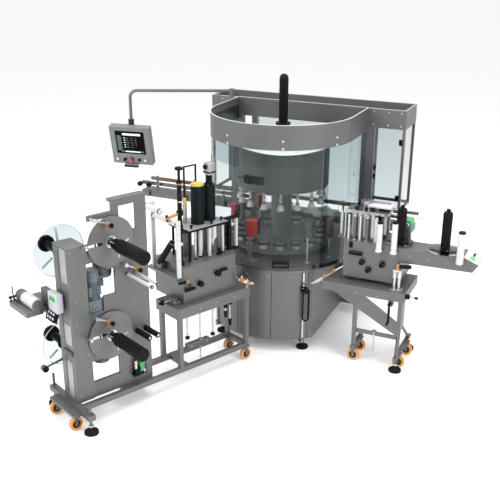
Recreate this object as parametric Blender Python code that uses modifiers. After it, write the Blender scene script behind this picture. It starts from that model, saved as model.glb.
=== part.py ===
# Rotary bottle labelling machine with two labelling units, a conveyor and an operator panel.
# Metres, +Z up. The carousel axis stands at CELL_X, CELL_Y from the middle of the footprint.
import math
import bpy
import bmesh
from mathutils import Matrix, Vector

for old in list(bpy.data.objects):
    bpy.data.objects.remove(old, do_unlink=True)

# Driving sizes
GAP = 0.0003
CELL_X = -0.01
CELL_Y = 0.895
WORK_HEIGHT = 1.05
CELL_RADIUS = 0.72
BAND_TOP = 2.28
BAND_HEIGHT = 0.23
SHEET = 0.004
GUARD_SHEET = 0.006
GUARD_BOTTOM = 0.86
SKIRT_BOTTOM = 0.12
SKIRT_TOP = 0.85
SKIRT_RADIUS = 0.70
SKIRT_HALF = 0.53
CABINET_HALF = 0.74
CABINET_FRONT = 0.49
CABINET_BACK = 0.90
DECK_THICK = 0.04
COLUMN_RADIUS = 0.045
COLUMN_TOP = 2.64
STATIONS = 16
PITCH_RADIUS = 0.424
PLATFORM_RADIUS = 0.064
TURNTABLE_RADIUS = 0.50
BELL_TIP = WORK_HEIGHT + 0.335
DRUM_RADIUS = 0.47
DRUM_HEIGHT = 0.28
GANTRY_LEFT = -1.03
GANTRY_RIGHT = 1.11
GANTRY_FRONT = 0.49
GANTRY_BACK = 0.92
GANTRY_WALL = 0.03
FASCIA_HEIGHT = 0.19
WINDOW_BOTTOM = 1.22
POST_OUT = 0.80
POST_IN = 0.66
BELT_FRONT = 0.62
BELT_BACK = 0.80
BELT_LEFT = -2.05
BELT_RIGHT = 1.22
STAR_RADIUS = 0.17
STAR_POCKETS = 6
LEFT_TURN = math.radians(65)
LEFT_X = -0.599
LEFT_Y = -2.643
TOWER_WIDE = 0.165
TOWER_NEAR = 0.20
TOWER_FAR = 0.42
TOWER_TOP = 1.57
RAIL_TOP = 0.18
REEL_RADIUS = 0.215
MANDREL_RADIUS = 0.057
PLATE_NEAR = 0.205
PLATE_THICK = 0.025
HEAD_TOP = 1.115
SHELF_TOP = 0.77
CASTOR_RADIUS = 0.06
RIGHT_FRONT = -0.56
RIGHT_SHELF = 0.80
RIGHT_FACE = -0.44
RIGHT_TOP = 1.20
ARM_TOP = RIGHT_TOP - 0.001
PANEL_WIDE = 0.46
PANEL_HIGH = 0.436
PANEL_DEEP = 0.085

DECK_BOTTOM = SKIRT_TOP + GAP
DECK_TOP = SKIRT_TOP + DECK_THICK
BAND_BOTTOM = BAND_TOP - BAND_HEIGHT
FASCIA_BOTTOM = BAND_TOP - FASCIA_HEIGHT
BAND_INNER = CELL_RADIUS - SHEET
FIXED_OUT = BAND_INNER - GAP
FIXED_IN = FIXED_OUT - GUARD_SHEET
SLIDE_OUT = FIXED_IN - 0.0006
SLIDE_IN = SLIDE_OUT - GUARD_SHEET
DECK_RADIUS = SLIDE_IN - 0.0006
STAR_Y = 0.5 * (BELT_FRONT + BELT_BACK) - STAR_RADIUS
STAR_X = math.sqrt((PITCH_RADIUS + STAR_RADIUS) ** 2 - STAR_Y ** 2)

CELL = Matrix.Translation((CELL_X, CELL_Y, 0))
LEFT = CELL @ Matrix.Translation((LEFT_X, LEFT_Y, 0)) @ Matrix.Rotation(LEFT_TURN, 4, 'Z')

main = bpy.data.collections.new("labelling_machine")
bpy.context.scene.collection.children.link(main)
cutters = bpy.data.collections.new("cutters")
bpy.context.scene.collection.children.link(cutters)

COLOURS = {
    "steel": ((0.42, 0.42, 0.42), 0.7, 0.4),
    "bright": ((0.85, 0.85, 0.85), 0.6, 0.3),
    "black": ((0.02, 0.02, 0.02), 0.0, 0.5),
    "smoked": ((0.18, 0.21, 0.21), 0.0, 0.15),
    "clear": ((0.75, 0.85, 0.86), 0.0, 0.1),
    "orange": ((0.85, 0.35, 0.05), 0.0, 0.5),
    "red": ((0.6, 0.02, 0.02), 0.0, 0.5),
    "teal": ((0.25, 0.32, 0.33), 0.1, 0.5),
}


def material(name, kind):
    colour, metal, rough = COLOURS[kind]
    made = bpy.data.materials.new(name)
    made.use_nodes = True
    shader = made.node_tree.nodes["Principled BSDF"]
    shader.inputs["Base Color"].default_value = (*colour, 1.0)
    shader.inputs["Metallic"].default_value = metal
    shader.inputs["Roughness"].default_value = rough
    made.diffuse_color = (*colour, 1.0)
    return made


def finish(bm, name):
    bmesh.ops.recalc_face_normals(bm, faces=bm.faces)
    mesh = bpy.data.meshes.new(name)
    bm.to_mesh(mesh)
    bm.free()
    return mesh


def box(x0, x1, y0, y1, z0, z1, at=CELL):
    bm = bmesh.new()
    size = Matrix.Diagonal((x1 - x0, y1 - y0, z1 - z0, 1))
    place = Matrix.Translation(((x0 + x1) / 2, (y0 + y1) / 2, (z0 + z1) / 2))
    bmesh.ops.create_cube(bm, size=1.0, matrix=at @ place @ size)
    return finish(bm, "box")


def rod(start, end, r0, r1=None, sides=16, at=CELL):
    a = Vector(start)
    b = Vector(end)
    along = b - a
    turn = along.to_track_quat('Z', 'Y').to_matrix().to_4x4()
    bm = bmesh.new()
    bmesh.ops.create_cone(
        bm, cap_ends=True, cap_tris=False, segments=sides, radius1=r0,
        radius2=r0 if r1 is None else r1, depth=along.length,
        matrix=at @ Matrix.Translation((a + b) / 2) @ turn)
    return finish(bm, "rod")


def prism(points, z0, z1, at=CELL):
    bm = bmesh.new()
    low = [bm.verts.new(at @ Vector((x, y, z0))) for x, y in points]
    high = [bm.verts.new(at @ Vector((x, y, z1))) for x, y in points]
    count = len(points)
    bm.faces.new(list(reversed(low)))
    bm.faces.new(high)
    for i in range(count):
        j = (i + 1) % count
        bm.faces.new((low[i], low[j], high[j], high[i]))
    return finish(bm, "prism")


def slab(points, y0, y1, at=CELL):
    # A plate standing in the X-Z plane: points are (x, z).
    upright = at @ Matrix.Rotation(math.radians(90), 4, 'X')
    return prism(points, -y1, -y0, upright)


def ring(outer, inner, z0, z1, at=CELL):
    bm = bmesh.new()
    rows = []
    for points, z in ((outer, z0), (outer, z1), (inner, z1), (inner, z0)):
        rows.append([bm.verts.new(at @ Vector((x, y, z))) for x, y in points])
    count = len(outer)
    for i in range(count):
        j = (i + 1) % count
        for k in range(4):
            n = (k + 1) % 4
            bm.faces.new((rows[k][i], rows[k][j], rows[n][j], rows[n][i]))
    return finish(bm, "ring")


def strip(path, section, at=CELL):
    # Sweeps a section of (outward, z) points along a path of (point, outward normal) pairs.
    bm = bmesh.new()
    rows = []
    for point, normal in path:
        rows.append([bm.verts.new(at @ Vector((point[0] + normal[0] * o, point[1] + normal[1] * o, z)))
                     for o, z in section])
    count = len(section)
    for a, b in zip(rows, rows[1:]):
        for k in range(count):
            n = (k + 1) % count
            bm.faces.new((a[k], a[n], b[n], b[k]))
    bm.faces.new(rows[0])
    bm.faces.new(list(reversed(rows[-1])))
    return finish(bm, "strip")


def turned(profile, steps, at=CELL):
    # A turned solid made with a Screw modifier; the profile is (radius, z) from top to bottom.
    mesh = bpy.data.meshes.new("profile")
    mesh.from_pydata([(r, 0, z) for r, z in profile], [(i, i + 1) for i in range(len(profile) - 1)], [])
    holder = bpy.data.objects.new("profile", mesh)
    bpy.context.scene.collection.objects.link(holder)
    screw = holder.modifiers.new("screw", 'SCREW')
    screw.steps = steps
    screw.render_steps = steps
    screw.use_merge_vertices = True
    screw.merge_threshold = 0.0001
    bpy.context.view_layer.update()
    ready = bpy.data.meshes.new_from_object(holder.evaluated_get(bpy.context.evaluated_depsgraph_get()))
    bpy.data.objects.remove(holder, do_unlink=True)
    bm = bmesh.new()
    bm.from_mesh(ready)
    bmesh.ops.remove_doubles(bm, verts=bm.verts, dist=0.00005)
    bmesh.ops.transform(bm, matrix=at, verts=bm.verts)
    return finish(bm, "turned")


def tube(points, radius, at=CELL, cyclic=False, sides=2):
    # A bent bar made from a poly curve with a round bevel and filled ends.
    curve = bpy.data.curves.new("bar", 'CURVE')
    curve.dimensions = '3D'
    curve.bevel_depth = radius
    curve.bevel_resolution = sides
    curve.use_fill_caps = True
    line = curve.splines.new('POLY')
    line.points.add(len(points) - 1)
    for spot, place in zip(line.points, points):
        spot.co = (*place, 1.0)
    line.use_cyclic_u = cyclic
    holder = bpy.data.objects.new("bar", curve)
    bpy.context.scene.collection.objects.link(holder)
    bpy.context.view_layer.update()
    ready = bpy.data.meshes.new_from_object(holder.evaluated_get(bpy.context.evaluated_depsgraph_get()))
    bpy.data.objects.remove(holder, do_unlink=True)
    bm = bmesh.new()
    bm.from_mesh(ready)
    bmesh.ops.remove_doubles(bm, verts=bm.verts, dist=0.00005)
    bmesh.ops.transform(bm, matrix=at, verts=bm.verts)
    return finish(bm, "bar")


def bend(corner, start, end, radius, count=5):
    # Points of a round bend at a corner between two straight runs.
    c = Vector(corner)
    a = (Vector(start) - c).normalized()
    b = (Vector(end) - c).normalized()
    half = a.angle(b) / 2
    reach = radius / math.tan(half)
    middle = c + (a + b).normalized() * radius / math.sin(half)
    first = (c + a * reach - middle).normalized()
    last = (c + b * reach - middle).normalized()
    return [tuple(middle + first.slerp(last, i / count) * radius) for i in range(count + 1)]


def node(name, kind, first, add=(), cut=(), pivot=None):
    body = bpy.data.objects.new(name, first)
    first.name = name
    first.materials.append(material(name, kind))
    main.objects.link(body)
    for index, (meshes, how) in enumerate(((add, 'UNION'), (cut, 'DIFFERENCE'))):
        for number, mesh in enumerate(meshes):
            tool = bpy.data.objects.new(f"{name}_{how.lower()}_{number}", mesh)
            cutters.objects.link(tool)
            tool.hide_render = True
            tool.display_type = 'WIRE'
            step = body.modifiers.new(f"{how.lower()}_{number}", 'BOOLEAN')
            step.operation = how
            step.solver = 'EXACT'
            step.object = tool
    if pivot is not None:
        spot = Vector(pivot)
        first.transform(Matrix.Translation(-spot))
        body.location = spot
    return body


def arc(radius, a0, a1, count):
    return [(radius * math.cos(math.radians(a0 + (a1 - a0) * i / count)),
             radius * math.sin(math.radians(a0 + (a1 - a0) * i / count))) for i in range(count + 1)]


def arc_path(a0, a1, count):
    # Path of the round cell wall; offsets in the section are full radii.
    return [((0.0, 0.0), (math.cos(math.radians(a0 + (a1 - a0) * i / count)),
                          math.sin(math.radians(a0 + (a1 - a0) * i / count)))) for i in range(count + 1)]


def at_cell(x, y, z=0.0):
    return CELL @ Vector((x, y, z))


def at_left(u, w, z=0.0):
    return LEFT @ Vector((u, w, z))


# Base of the main cell: frame on four levelling feet, folded skirt, deck
def skirt_outline(inset):
    reach = SKIRT_RADIUS - inset
    half = SKIRT_HALF - inset
    swing = math.degrees(math.acos(half / reach))
    front = arc(reach, -180 + swing, -swing, 20)
    wide = CABINET_HALF - inset
    near = CABINET_FRONT + inset
    back = CABINET_BACK - inset
    return front + [(half, near), (wide, near), (wide, back), (-wide, back), (-wide, near), (-half, near)]


def foot(x, y, top, at):
    return turned([(0, top), (0.012, top), (0.012, 0.04), (0.058, 0.016), (0.058, 0.0), (0, 0.0)],
                  12, at @ Matrix.Translation((x, y, 0)))


FOOT_X = 0.4435
FOOT_Y = -0.475
feet = []
for fx, fy in ((FOOT_X, FOOT_Y), (-FOOT_X, FOOT_Y), (0.68, 0.80), (-0.68, 0.80)):
    feet.append(foot(fx, fy, 0.135, CELL))
frame_posts = [box(x - 0.025, x + 0.025, y - 0.025, y + 0.025, 0.13, SKIRT_TOP)
               for x, y in ((0.38, -0.42), (-0.38, -0.42), (0.42, 0.84), (-0.42, 0.84))]
node("base_frame", "steel",
     prism([(-0.46, -0.48), (-0.40, -0.555), (0.40, -0.555), (0.46, -0.48), (0.50, 0.505), (0.715, 0.505),
            (0.715, 0.87), (-0.715, 0.87), (-0.715, 0.505), (-0.50, 0.505)], 0.122, 0.145),
     add=feet + frame_posts)
node("base_skirt", "steel", ring(skirt_outline(0.0), skirt_outline(SHEET), SKIRT_BOTTOM, SKIRT_TOP))
deck_line = arc(DECK_RADIUS, -180, 0, 30) + [(DECK_RADIUS, GANTRY_FRONT), (POST_OUT, GANTRY_FRONT), (POST_OUT, GANTRY_BACK),
                                             (-POST_OUT, GANTRY_BACK), (-POST_OUT, GANTRY_FRONT),
                                             (-DECK_RADIUS, GANTRY_FRONT)]
node("deck_plate", "steel", prism(deck_line, DECK_BOTTOM, DECK_TOP))

# Centre column, carousel with bottle platforms, and the head that holds the bottles from above
HUB_LOW = DECK_TOP + GAP + 0.04
DRUM_LOW = WORK_HEIGHT + 0.51
dome = [(COLUMN_RADIUS * math.sin(math.radians(30 * i)), COLUMN_TOP - COLUMN_RADIUS
         + COLUMN_RADIUS * math.cos(math.radians(30 * i))) for i in range(4)]
dome[0] = (0, COLUMN_TOP)
node("lift_column", "black",
     turned(dome + [(COLUMN_RADIUS, 2.165), (0.075, 2.165), (0.075, 2.145), (COLUMN_RADIUS, 2.145),
                    (COLUMN_RADIUS, DRUM_LOW - GAP), (0.08, DRUM_LOW - GAP), (0.08, DRUM_LOW - 0.04),
                    (COLUMN_RADIUS, DRUM_LOW - 0.04), (COLUMN_RADIUS, HUB_LOW - GAP),
                    (0.14, HUB_LOW - GAP), (0.14, DECK_TOP + GAP), (0, DECK_TOP + GAP)], 20))
BORE = COLUMN_RADIUS + 0.0005
platforms = []
bells = []
for i in range(STATIONS):
    turn = math.radians(-92 + 360 / STATIONS * i)
    spot = CELL @ Matrix.Translation((PITCH_RADIUS * math.cos(turn), PITCH_RADIUS * math.sin(turn), 0))
    platforms.append(turned([(0, WORK_HEIGHT), (PLATFORM_RADIUS, WORK_HEIGHT),
                             (PLATFORM_RADIUS, WORK_HEIGHT - 0.018), (0.03, WORK_HEIGHT - 0.02),
                             (0.03, WORK_HEIGHT - 0.075), (0, WORK_HEIGHT - 0.075)], 12, spot))
    bells.append(turned([(0, DRUM_LOW + 0.01), (0.010, DRUM_LOW + 0.01), (0.010, BELL_TIP + 0.10),
                         (0.034, BELL_TIP + 0.008), (0.034, BELL_TIP), (0, BELL_TIP)], 8, spot))
node("turntable", "steel",
     turned([(BORE, WORK_HEIGHT - 0.07), (TURNTABLE_RADIUS, WORK_HEIGHT - 0.07),
             (TURNTABLE_RADIUS, WORK_HEIGHT - 0.10), (0.12, WORK_HEIGHT - 0.10),
             (0.12, HUB_LOW), (BORE, HUB_LOW), (BORE, WORK_HEIGHT - 0.07)], 40),
     add=platforms, pivot=at_cell(0, 0, 0.95))
node("bell_head", "steel",
     turned([(BORE, DRUM_LOW + DRUM_HEIGHT), (0.16, DRUM_LOW + DRUM_HEIGHT), (0.16, DRUM_LOW + DRUM_HEIGHT - 0.03),
             (DRUM_RADIUS, DRUM_LOW + DRUM_HEIGHT - 0.03), (DRUM_RADIUS, DRUM_LOW), (BORE, DRUM_LOW),
             (BORE, DRUM_LOW + DRUM_HEIGHT)], 40),
     add=bells, pivot=at_cell(0, 0, DRUM_LOW))

# Starwheels that hand bottles between the conveyor and the carousel
STAR_Z = WORK_HEIGHT + 0.05


def star(name, side):
    count = STAR_POCKETS
    outline = []
    for i in range(count):
        base = 360 / count * i + (0 if side > 0 else 30)
        for off, reach in ((-22, 0.192), (-13, 0.150), (0, 0.137), (13, 0.150), (22, 0.192)):
            outline.append((reach * math.cos(math.radians(base + off)), reach * math.sin(math.radians(base + off))))
    place = CELL @ Matrix.Translation((side * STAR_X, STAR_Y, 0))
    node(name, "bright", prism(outline, STAR_Z, STAR_Z + 0.02, place),
         add=[turned([(0, STAR_Z + 0.06), (0.03, STAR_Z + 0.06), (0.03, STAR_Z - 0.02), (0.018, STAR_Z - 0.02),
                      (0.018, DECK_TOP + GAP), (0, DECK_TOP + GAP)], 10, place)],
         pivot=at_cell(side * STAR_X, STAR_Y, STAR_Z))


star("infeed_star", -1)
star("outfeed_star", 1)

# Round canopy band and the guards under it
band_path = [((0.0, GANTRY_FRONT - GAP), (1.0, 0.0))] + arc_path(0, -180, 30)
band_path.append(((0.0, GANTRY_FRONT - GAP), (-1.0, 0.0)))
lip = SLIDE_OUT + 0.0015
node("canopy_band", "steel",
     strip(band_path, [(CELL_RADIUS, BAND_BOTTOM), (CELL_RADIUS, BAND_TOP), (lip, BAND_TOP),
                       (lip, BAND_TOP - 0.006), (BAND_INNER, BAND_TOP - 0.006), (BAND_INNER, BAND_BOTTOM)]))
GUARD_MID = -68
grip_turn = CELL @ Matrix.Rotation(math.radians(GUARD_MID), 4, 'Z')
node("front_guard", "smoked",
     strip(arc_path(-108, -30, 13), [(SLIDE_IN, GUARD_BOTTOM), (SLIDE_OUT, GUARD_BOTTOM),
                                     (SLIDE_OUT, BAND_BOTTOM + 0.06), (SLIDE_IN, BAND_BOTTOM + 0.06)]),
     add=[box(SLIDE_IN + 0.002, CELL_RADIUS + 0.035, -0.08, 0.08, 0.915, 0.965, grip_turn)],
     cut=[box(CELL_RADIUS - 0.008, CELL_RADIUS + 0.028, -0.065, 0.065, 0.905, 0.953, grip_turn)],
     pivot=at_cell(0, 0, GUARD_BOTTOM))
fixed = [(FIXED_IN, GUARD_BOTTOM), (FIXED_OUT, GUARD_BOTTOM), (FIXED_OUT, 2.20), (FIXED_IN, 2.20)]
node("side_guard_right", "clear",
     strip(arc_path(-36, 0, 6) + [((0.0, GANTRY_FRONT - GAP), (1.0, 0.0))], fixed))
node("side_guard_left", "clear",
     strip([((0.0, GANTRY_FRONT - GAP), (-1.0, 0.0))] + arc_path(-180, -102, 13), fixed),
     cut=[prism([(0, 0)] + arc(0.9, -152, -90, 3), 0.5, 1.86)])

# Rear gantry that carries the canopy, with its glazing and a hinged window
wall = GANTRY_WALL
gantry_parts = [
    box(GANTRY_LEFT, GANTRY_RIGHT, GANTRY_BACK - wall, GANTRY_BACK, FASCIA_BOTTOM, BAND_TOP),
    box(GANTRY_LEFT, GANTRY_LEFT + wall, GANTRY_FRONT + 0.002, GANTRY_BACK - 0.002, FASCIA_BOTTOM + 0.001, BAND_TOP - 0.001),
    box(GANTRY_RIGHT - wall, GANTRY_RIGHT, GANTRY_FRONT + 0.002, GANTRY_BACK - 0.002, FASCIA_BOTTOM + 0.001, BAND_TOP - 0.001),
    box(GANTRY_LEFT + 0.01, GANTRY_RIGHT - 0.01, 0.80, GANTRY_BACK - 0.01, FASCIA_BOTTOM + 0.004, FASCIA_BOTTOM + 0.05)]
for side in (1, -1):
    def across(a, b, side=side):
        return (min(side * a, side * b), max(side * a, side * b))
    end = GANTRY_RIGHT if side > 0 else -GANTRY_LEFT
    x0, x1 = across(POST_IN, POST_OUT)
    gantry_parts.append(box(x0, x1, GANTRY_FRONT + 0.001, GANTRY_FRONT + 0.06, DECK_TOP + GAP, FASCIA_BOTTOM + 0.02))
    x0, x1 = across(POST_IN, POST_IN + 0.06)
    gantry_parts.append(box(x0, x1, GANTRY_BACK - 0.062, GANTRY_BACK - 0.001, DECK_TOP + GAP, FASCIA_BOTTOM + 0.02))
    x0, x1 = across(end - wall + 0.002, end - 0.002)
    gantry_parts.append(box(x0, x1, GANTRY_FRONT + 0.003, GANTRY_FRONT + wall, WINDOW_BOTTOM, FASCIA_BOTTOM + 0.02))
    gantry_parts.append(box(x0, x1, GANTRY_BACK - wall, GANTRY_BACK - 0.003, WINDOW_BOTTOM, FASCIA_BOTTOM + 0.02))
    x0, x1 = across(end - wall + 0.004, end - 0.004)
    gantry_parts.append(box(x0, x1, GANTRY_FRONT + 0.005, GANTRY_BACK - 0.005, WINDOW_BOTTOM + 0.002, WINDOW_BOTTOM + wall))
    x0, x1 = across(POST_OUT - 0.02, end - 0.006)
    gantry_parts.append(box(x0, x1, GANTRY_FRONT + 0.004, GANTRY_FRONT + wall - 0.002, WINDOW_BOTTOM + 0.001, WINDOW_BOTTOM + wall - 0.001))
    x0, x1 = across(POST_IN + 0.03, end - 0.006)
    gantry_parts.append(box(x0, x1, GANTRY_BACK - wall + 0.002, GANTRY_BACK - 0.004, WINDOW_BOTTOM + 0.001, WINDOW_BOTTOM + wall - 0.001))
node("gantry_frame", "steel",
     box(GANTRY_LEFT, GANTRY_RIGHT, GANTRY_FRONT, GANTRY_FRONT + wall, FASCIA_BOTTOM, BAND_TOP),
     add=gantry_parts)
node("rear_glazing", "clear",
     box(-POST_IN + GAP, POST_IN - GAP, GANTRY_BACK - 0.045, GANTRY_BACK - 0.037, 1.10, FASCIA_BOTTOM + 0.004 - GAP))
DOOR_Y = GANTRY_FRONT + 0.008
DOOR_LEFT = POST_OUT + 2 * GAP
DOOR_RIGHT = GANTRY_RIGHT - wall + 0.002 - 2 * GAP
DOOR_LOW = WINDOW_BOTTOM + wall + 2 * GAP
DOOR_HIGH = FASCIA_BOTTOM - 2 * GAP
PIN_Y = DOOR_Y - 0.0115
door_parts = [box(DOOR_LEFT + 0.01, DOOR_LEFT + 0.03, DOOR_Y - 0.03, DOOR_Y + 0.001, z, z + 0.05) for z in (1.57, 1.66)]
for z in (DOOR_LOW + 0.10, DOOR_HIGH - 0.16):
    door_parts.append(rod((DOOR_RIGHT, PIN_Y, z), (DOOR_RIGHT, PIN_Y, z + 0.06), 0.0055, sides=8))
    door_parts.append(box(DOOR_RIGHT - 0.03, DOOR_RIGHT - 0.002, PIN_Y, DOOR_Y + 0.001, z + 0.002, z + 0.058))
node("gantry_window", "clear", box(DOOR_LEFT, DOOR_RIGHT, DOOR_Y, DOOR_Y + 0.008, DOOR_LOW, DOOR_HIGH),
     add=door_parts, pivot=at_cell(DOOR_RIGHT, PIN_Y, 0.5 * (DOOR_LOW + DOOR_HIGH)))
node("end_glazing", "smoked",
     box(GANTRY_RIGHT - 0.02, GANTRY_RIGHT - 0.012, GANTRY_FRONT + wall + GAP, GANTRY_BACK - wall - GAP,
         WINDOW_BOTTOM + wall + GAP, FASCIA_BOTTOM + 0.001 - GAP))

# Conveyor through the rear of the cell, with side rails and drive
belt_mid = 0.5 * (BELT_FRONT + BELT_BACK)
RAIL_Z = WORK_HEIGHT + 0.10
conveyor_parts = [
    box(BELT_LEFT + 0.02, -0.52, BELT_FRONT - 0.02, BELT_FRONT - 0.012, RAIL_Z - 0.02, RAIL_Z + 0.02),
    box(0.52, BELT_RIGHT + 0.02, BELT_FRONT - 0.02, BELT_FRONT - 0.012, RAIL_Z - 0.02, RAIL_Z + 0.02),
    box(BELT_LEFT + 0.02, BELT_RIGHT + 0.02, BELT_BACK + 0.012, BELT_BACK + 0.02, RAIL_Z - 0.02, RAIL_Z + 0.02)]
for x in (-1.95, -1.45, -0.95, -0.56, 0.56, 1.10):
    conveyor_parts.append(box(x - 0.012, x + 0.012, BELT_FRONT - 0.034, BELT_FRONT - 0.018, WORK_HEIGHT - 0.06, RAIL_Z + 0.03))
    conveyor_parts.append(box(x - 0.011, x + 0.011, BELT_FRONT - 0.033, BELT_FRONT + 0.01, WORK_HEIGHT - 0.058, WORK_HEIGHT - 0.03))
for x in (-1.95, -1.45, -0.95, -0.40, 0.40, 1.10):
    conveyor_parts.append(box(x - 0.012, x + 0.012, BELT_BACK + 0.018, BELT_BACK + 0.034, WORK_HEIGHT - 0.06, RAIL_Z + 0.03))
    conveyor_parts.append(box(x - 0.011, x + 0.011, BELT_BACK - 0.01, BELT_BACK + 0.033, WORK_HEIGHT - 0.058, WORK_HEIGHT - 0.03))
for x in (-0.50, 0.50):
    conveyor_parts.append(box(x - 0.04, x + 0.04, BELT_FRONT + 0.03, BELT_BACK - 0.03, DECK_TOP + GAP, WORK_HEIGHT - 0.06))
conveyor_parts.append(rod((1.15, BELT_FRONT + 0.02, 0.99), (1.15, BELT_FRONT - 0.06, 0.99), 0.05, sides=12))
conveyor_parts.append(rod((1.15, BELT_FRONT - 0.055, 0.99), (1.15, BELT_FRONT - 0.22, 0.99), 0.058, sides=12))
for x in (-2.02, -1.90):
    conveyor_parts.append(rod((x, BELT_FRONT - 0.018, RAIL_Z), (x, BELT_FRONT - 0.10, RAIL_Z), 0.009, sides=8))
    conveyor_parts.append(rod((x, BELT_FRONT - 0.075, RAIL_Z), (x, BELT_FRONT - 0.105, RAIL_Z), 0.026, sides=10))
node("conveyor", "steel", box(BELT_LEFT, BELT_RIGHT, BELT_FRONT, BELT_BACK, WORK_HEIGHT - 0.07, WORK_HEIGHT),
     add=conveyor_parts)

# Wipe-down pads and the loop handle beside the front foot
pad_turn = CELL @ Matrix.Rotation(math.radians(-6), 4, 'Z')
node("wipe_pads", "red", box(-0.045, 0.045, -0.645, -0.56, WORK_HEIGHT + 0.12, WORK_HEIGHT + 0.27, pad_turn),
     add=[box(-0.020, 0.020, -0.66, -0.64, DECK_TOP + 0.01, WORK_HEIGHT + 0.20, pad_turn),
          box(-0.05, 0.05, -0.67, -0.56, DECK_TOP + GAP, DECK_TOP + 0.02, pad_turn)])
LOOP_TURN = -48
loop_at = CELL @ Matrix.Rotation(math.radians(LOOP_TURN + 90), 4, 'Z') @ Matrix.Translation((0, -SKIRT_RADIUS - GAP, 0.63))
loop_points = []
for i in range(6):
    t = math.radians(180 * i / 5)
    loop_points.append((0.03 * math.cos(t), -0.045, 0.02 + 0.03 * math.sin(t)))
for i in range(6):
    t = math.radians(180 + 180 * i / 5)
    loop_points.append((0.03 * math.cos(t), -0.045, -0.26 + 0.03 * math.sin(t)))
loop_spot = loop_at @ Vector((0, 0, 0.03))
node("loop_handle", "black", rod((0, 0, 0.03), (0, -0.06, 0.03), 0.03, sides=16, at=loop_at),
     add=[tube(loop_points, 0.009, loop_at, cyclic=True, sides=1)], pivot=loop_spot)

# Operator panel on its swing arm
MAST_X = -0.80
MAST_Y = GANTRY_FRONT + 0.03
PANEL_YAW = math.radians(9)
PANEL_TILT = math.radians(13)
HANG_X = -1.79
HANG_Y = 0.045
ARM_Z = 2.335
HANG_Z = 2.03
arm_line = [(MAST_X, MAST_Y, ARM_Z)]
arm_line += bend((HANG_X, HANG_Y, ARM_Z), (MAST_X, MAST_Y, ARM_Z), (HANG_X, HANG_Y, 2.0), 0.07)
arm_line.append((HANG_X, HANG_Y, HANG_Z))
node("panel_arm", "bright", tube(arm_line, 0.017),
     add=[turned([(0, ARM_Z + 0.025), (0.026, ARM_Z + 0.025), (0.03, ARM_Z - 0.02), (0.03, BAND_TOP + GAP),
                  (0, BAND_TOP + GAP)], 16, CELL @ Matrix.Translation((MAST_X, MAST_Y - 0.015, 0)))],
     pivot=at_cell(MAST_X, MAST_Y - 0.015, ARM_Z))
PANEL = (CELL @ Matrix.Translation((HANG_X, HANG_Y, 1.75)) @ Matrix.Rotation(PANEL_YAW, 4, 'Z')
         @ Matrix.Rotation(PANEL_TILT, 4, 'X'))
half_w = PANEL_WIDE / 2
half_h = PANEL_HIGH / 2
deep = PANEL_DEEP / 2
shell = box(-half_w, half_w, -deep, deep, -half_h, half_h, PANEL)
BUTTON_Z = -0.165
STEM = 0.008
BUTTONS = (("stop_button", "red", -0.012, 0.021), ("start_button", "black", -0.087, 0.014))
sockets = [rod((x, -deep - 0.01, BUTTON_Z), (x, -deep + 0.016, BUTTON_Z), STEM + 0.0005, sides=12, at=PANEL)
           for name, kind, x, size in BUTTONS]
node("panel_box", "steel", shell,
     add=[rod((HANG_X, HANG_Y, HANG_Z - GAP), (HANG_X, HANG_Y, 1.90), 0.032, sides=16),
          box(-0.09, 0.06, -deep - 0.03, -deep + 0.01, -half_h - 0.022, -half_h + 0.004, PANEL)],
     cut=[box(-0.163, 0.163, -deep - 0.01, -deep + 0.003, -0.088, half_h - 0.05, PANEL)] + sockets,
     pivot=at_cell(HANG_X, HANG_Y, HANG_Z))
for name, kind, x, size in BUTTONS:
    node(name, kind, rod((x, -deep - 0.008, BUTTON_Z), (x, -deep - 0.03, BUTTON_Z), size, sides=16, at=PANEL),
         add=[rod((x, -deep - 0.009, BUTTON_Z), (x, -deep + 0.008, BUTTON_Z), STEM, sides=12, at=PANEL)],
         pivot=PANEL @ Vector((x, -deep - 0.008, BUTTON_Z)))

# Left labelling unit: base, tower, reel plate
FOOT_SPAN = 0.616
WHEEL_SPOTS = ((-0.07, 0.13), (-0.07, 0.465), (1.815, 0.162), (1.815, 0.417))


def fork(x, y, top, at):
    # A castor fork: plate, stem and two cheeks, the wheel runs between the cheeks.
    return [box(x - 0.03, x + 0.03, y - 0.030, y + 0.030, CASTOR_RADIUS + 0.068, top, at),
            box(x - 0.014, x + 0.014, y - 0.026, y - 0.0185, CASTOR_RADIUS - 0.014, CASTOR_RADIUS + 0.072, at),
            box(x - 0.014, x + 0.014, y + 0.0185, y + 0.026, CASTOR_RADIUS - 0.014, CASTOR_RADIUS + 0.072, at)]


def wheel(name, x, y, at):
    # The wheel sits 2 mm off the floor because the feet carry the load.
    z = CASTOR_RADIUS
    node(name, "orange", rod((x, y - 0.016, z), (x, y + 0.016, z), CASTOR_RADIUS - 0.002, sides=18, at=at),
         add=[rod((x, y - 0.0182, z), (x, y + 0.0182, z), 0.02, sides=8, at=at)],
         pivot=at @ Vector((x, y, z)))


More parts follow.
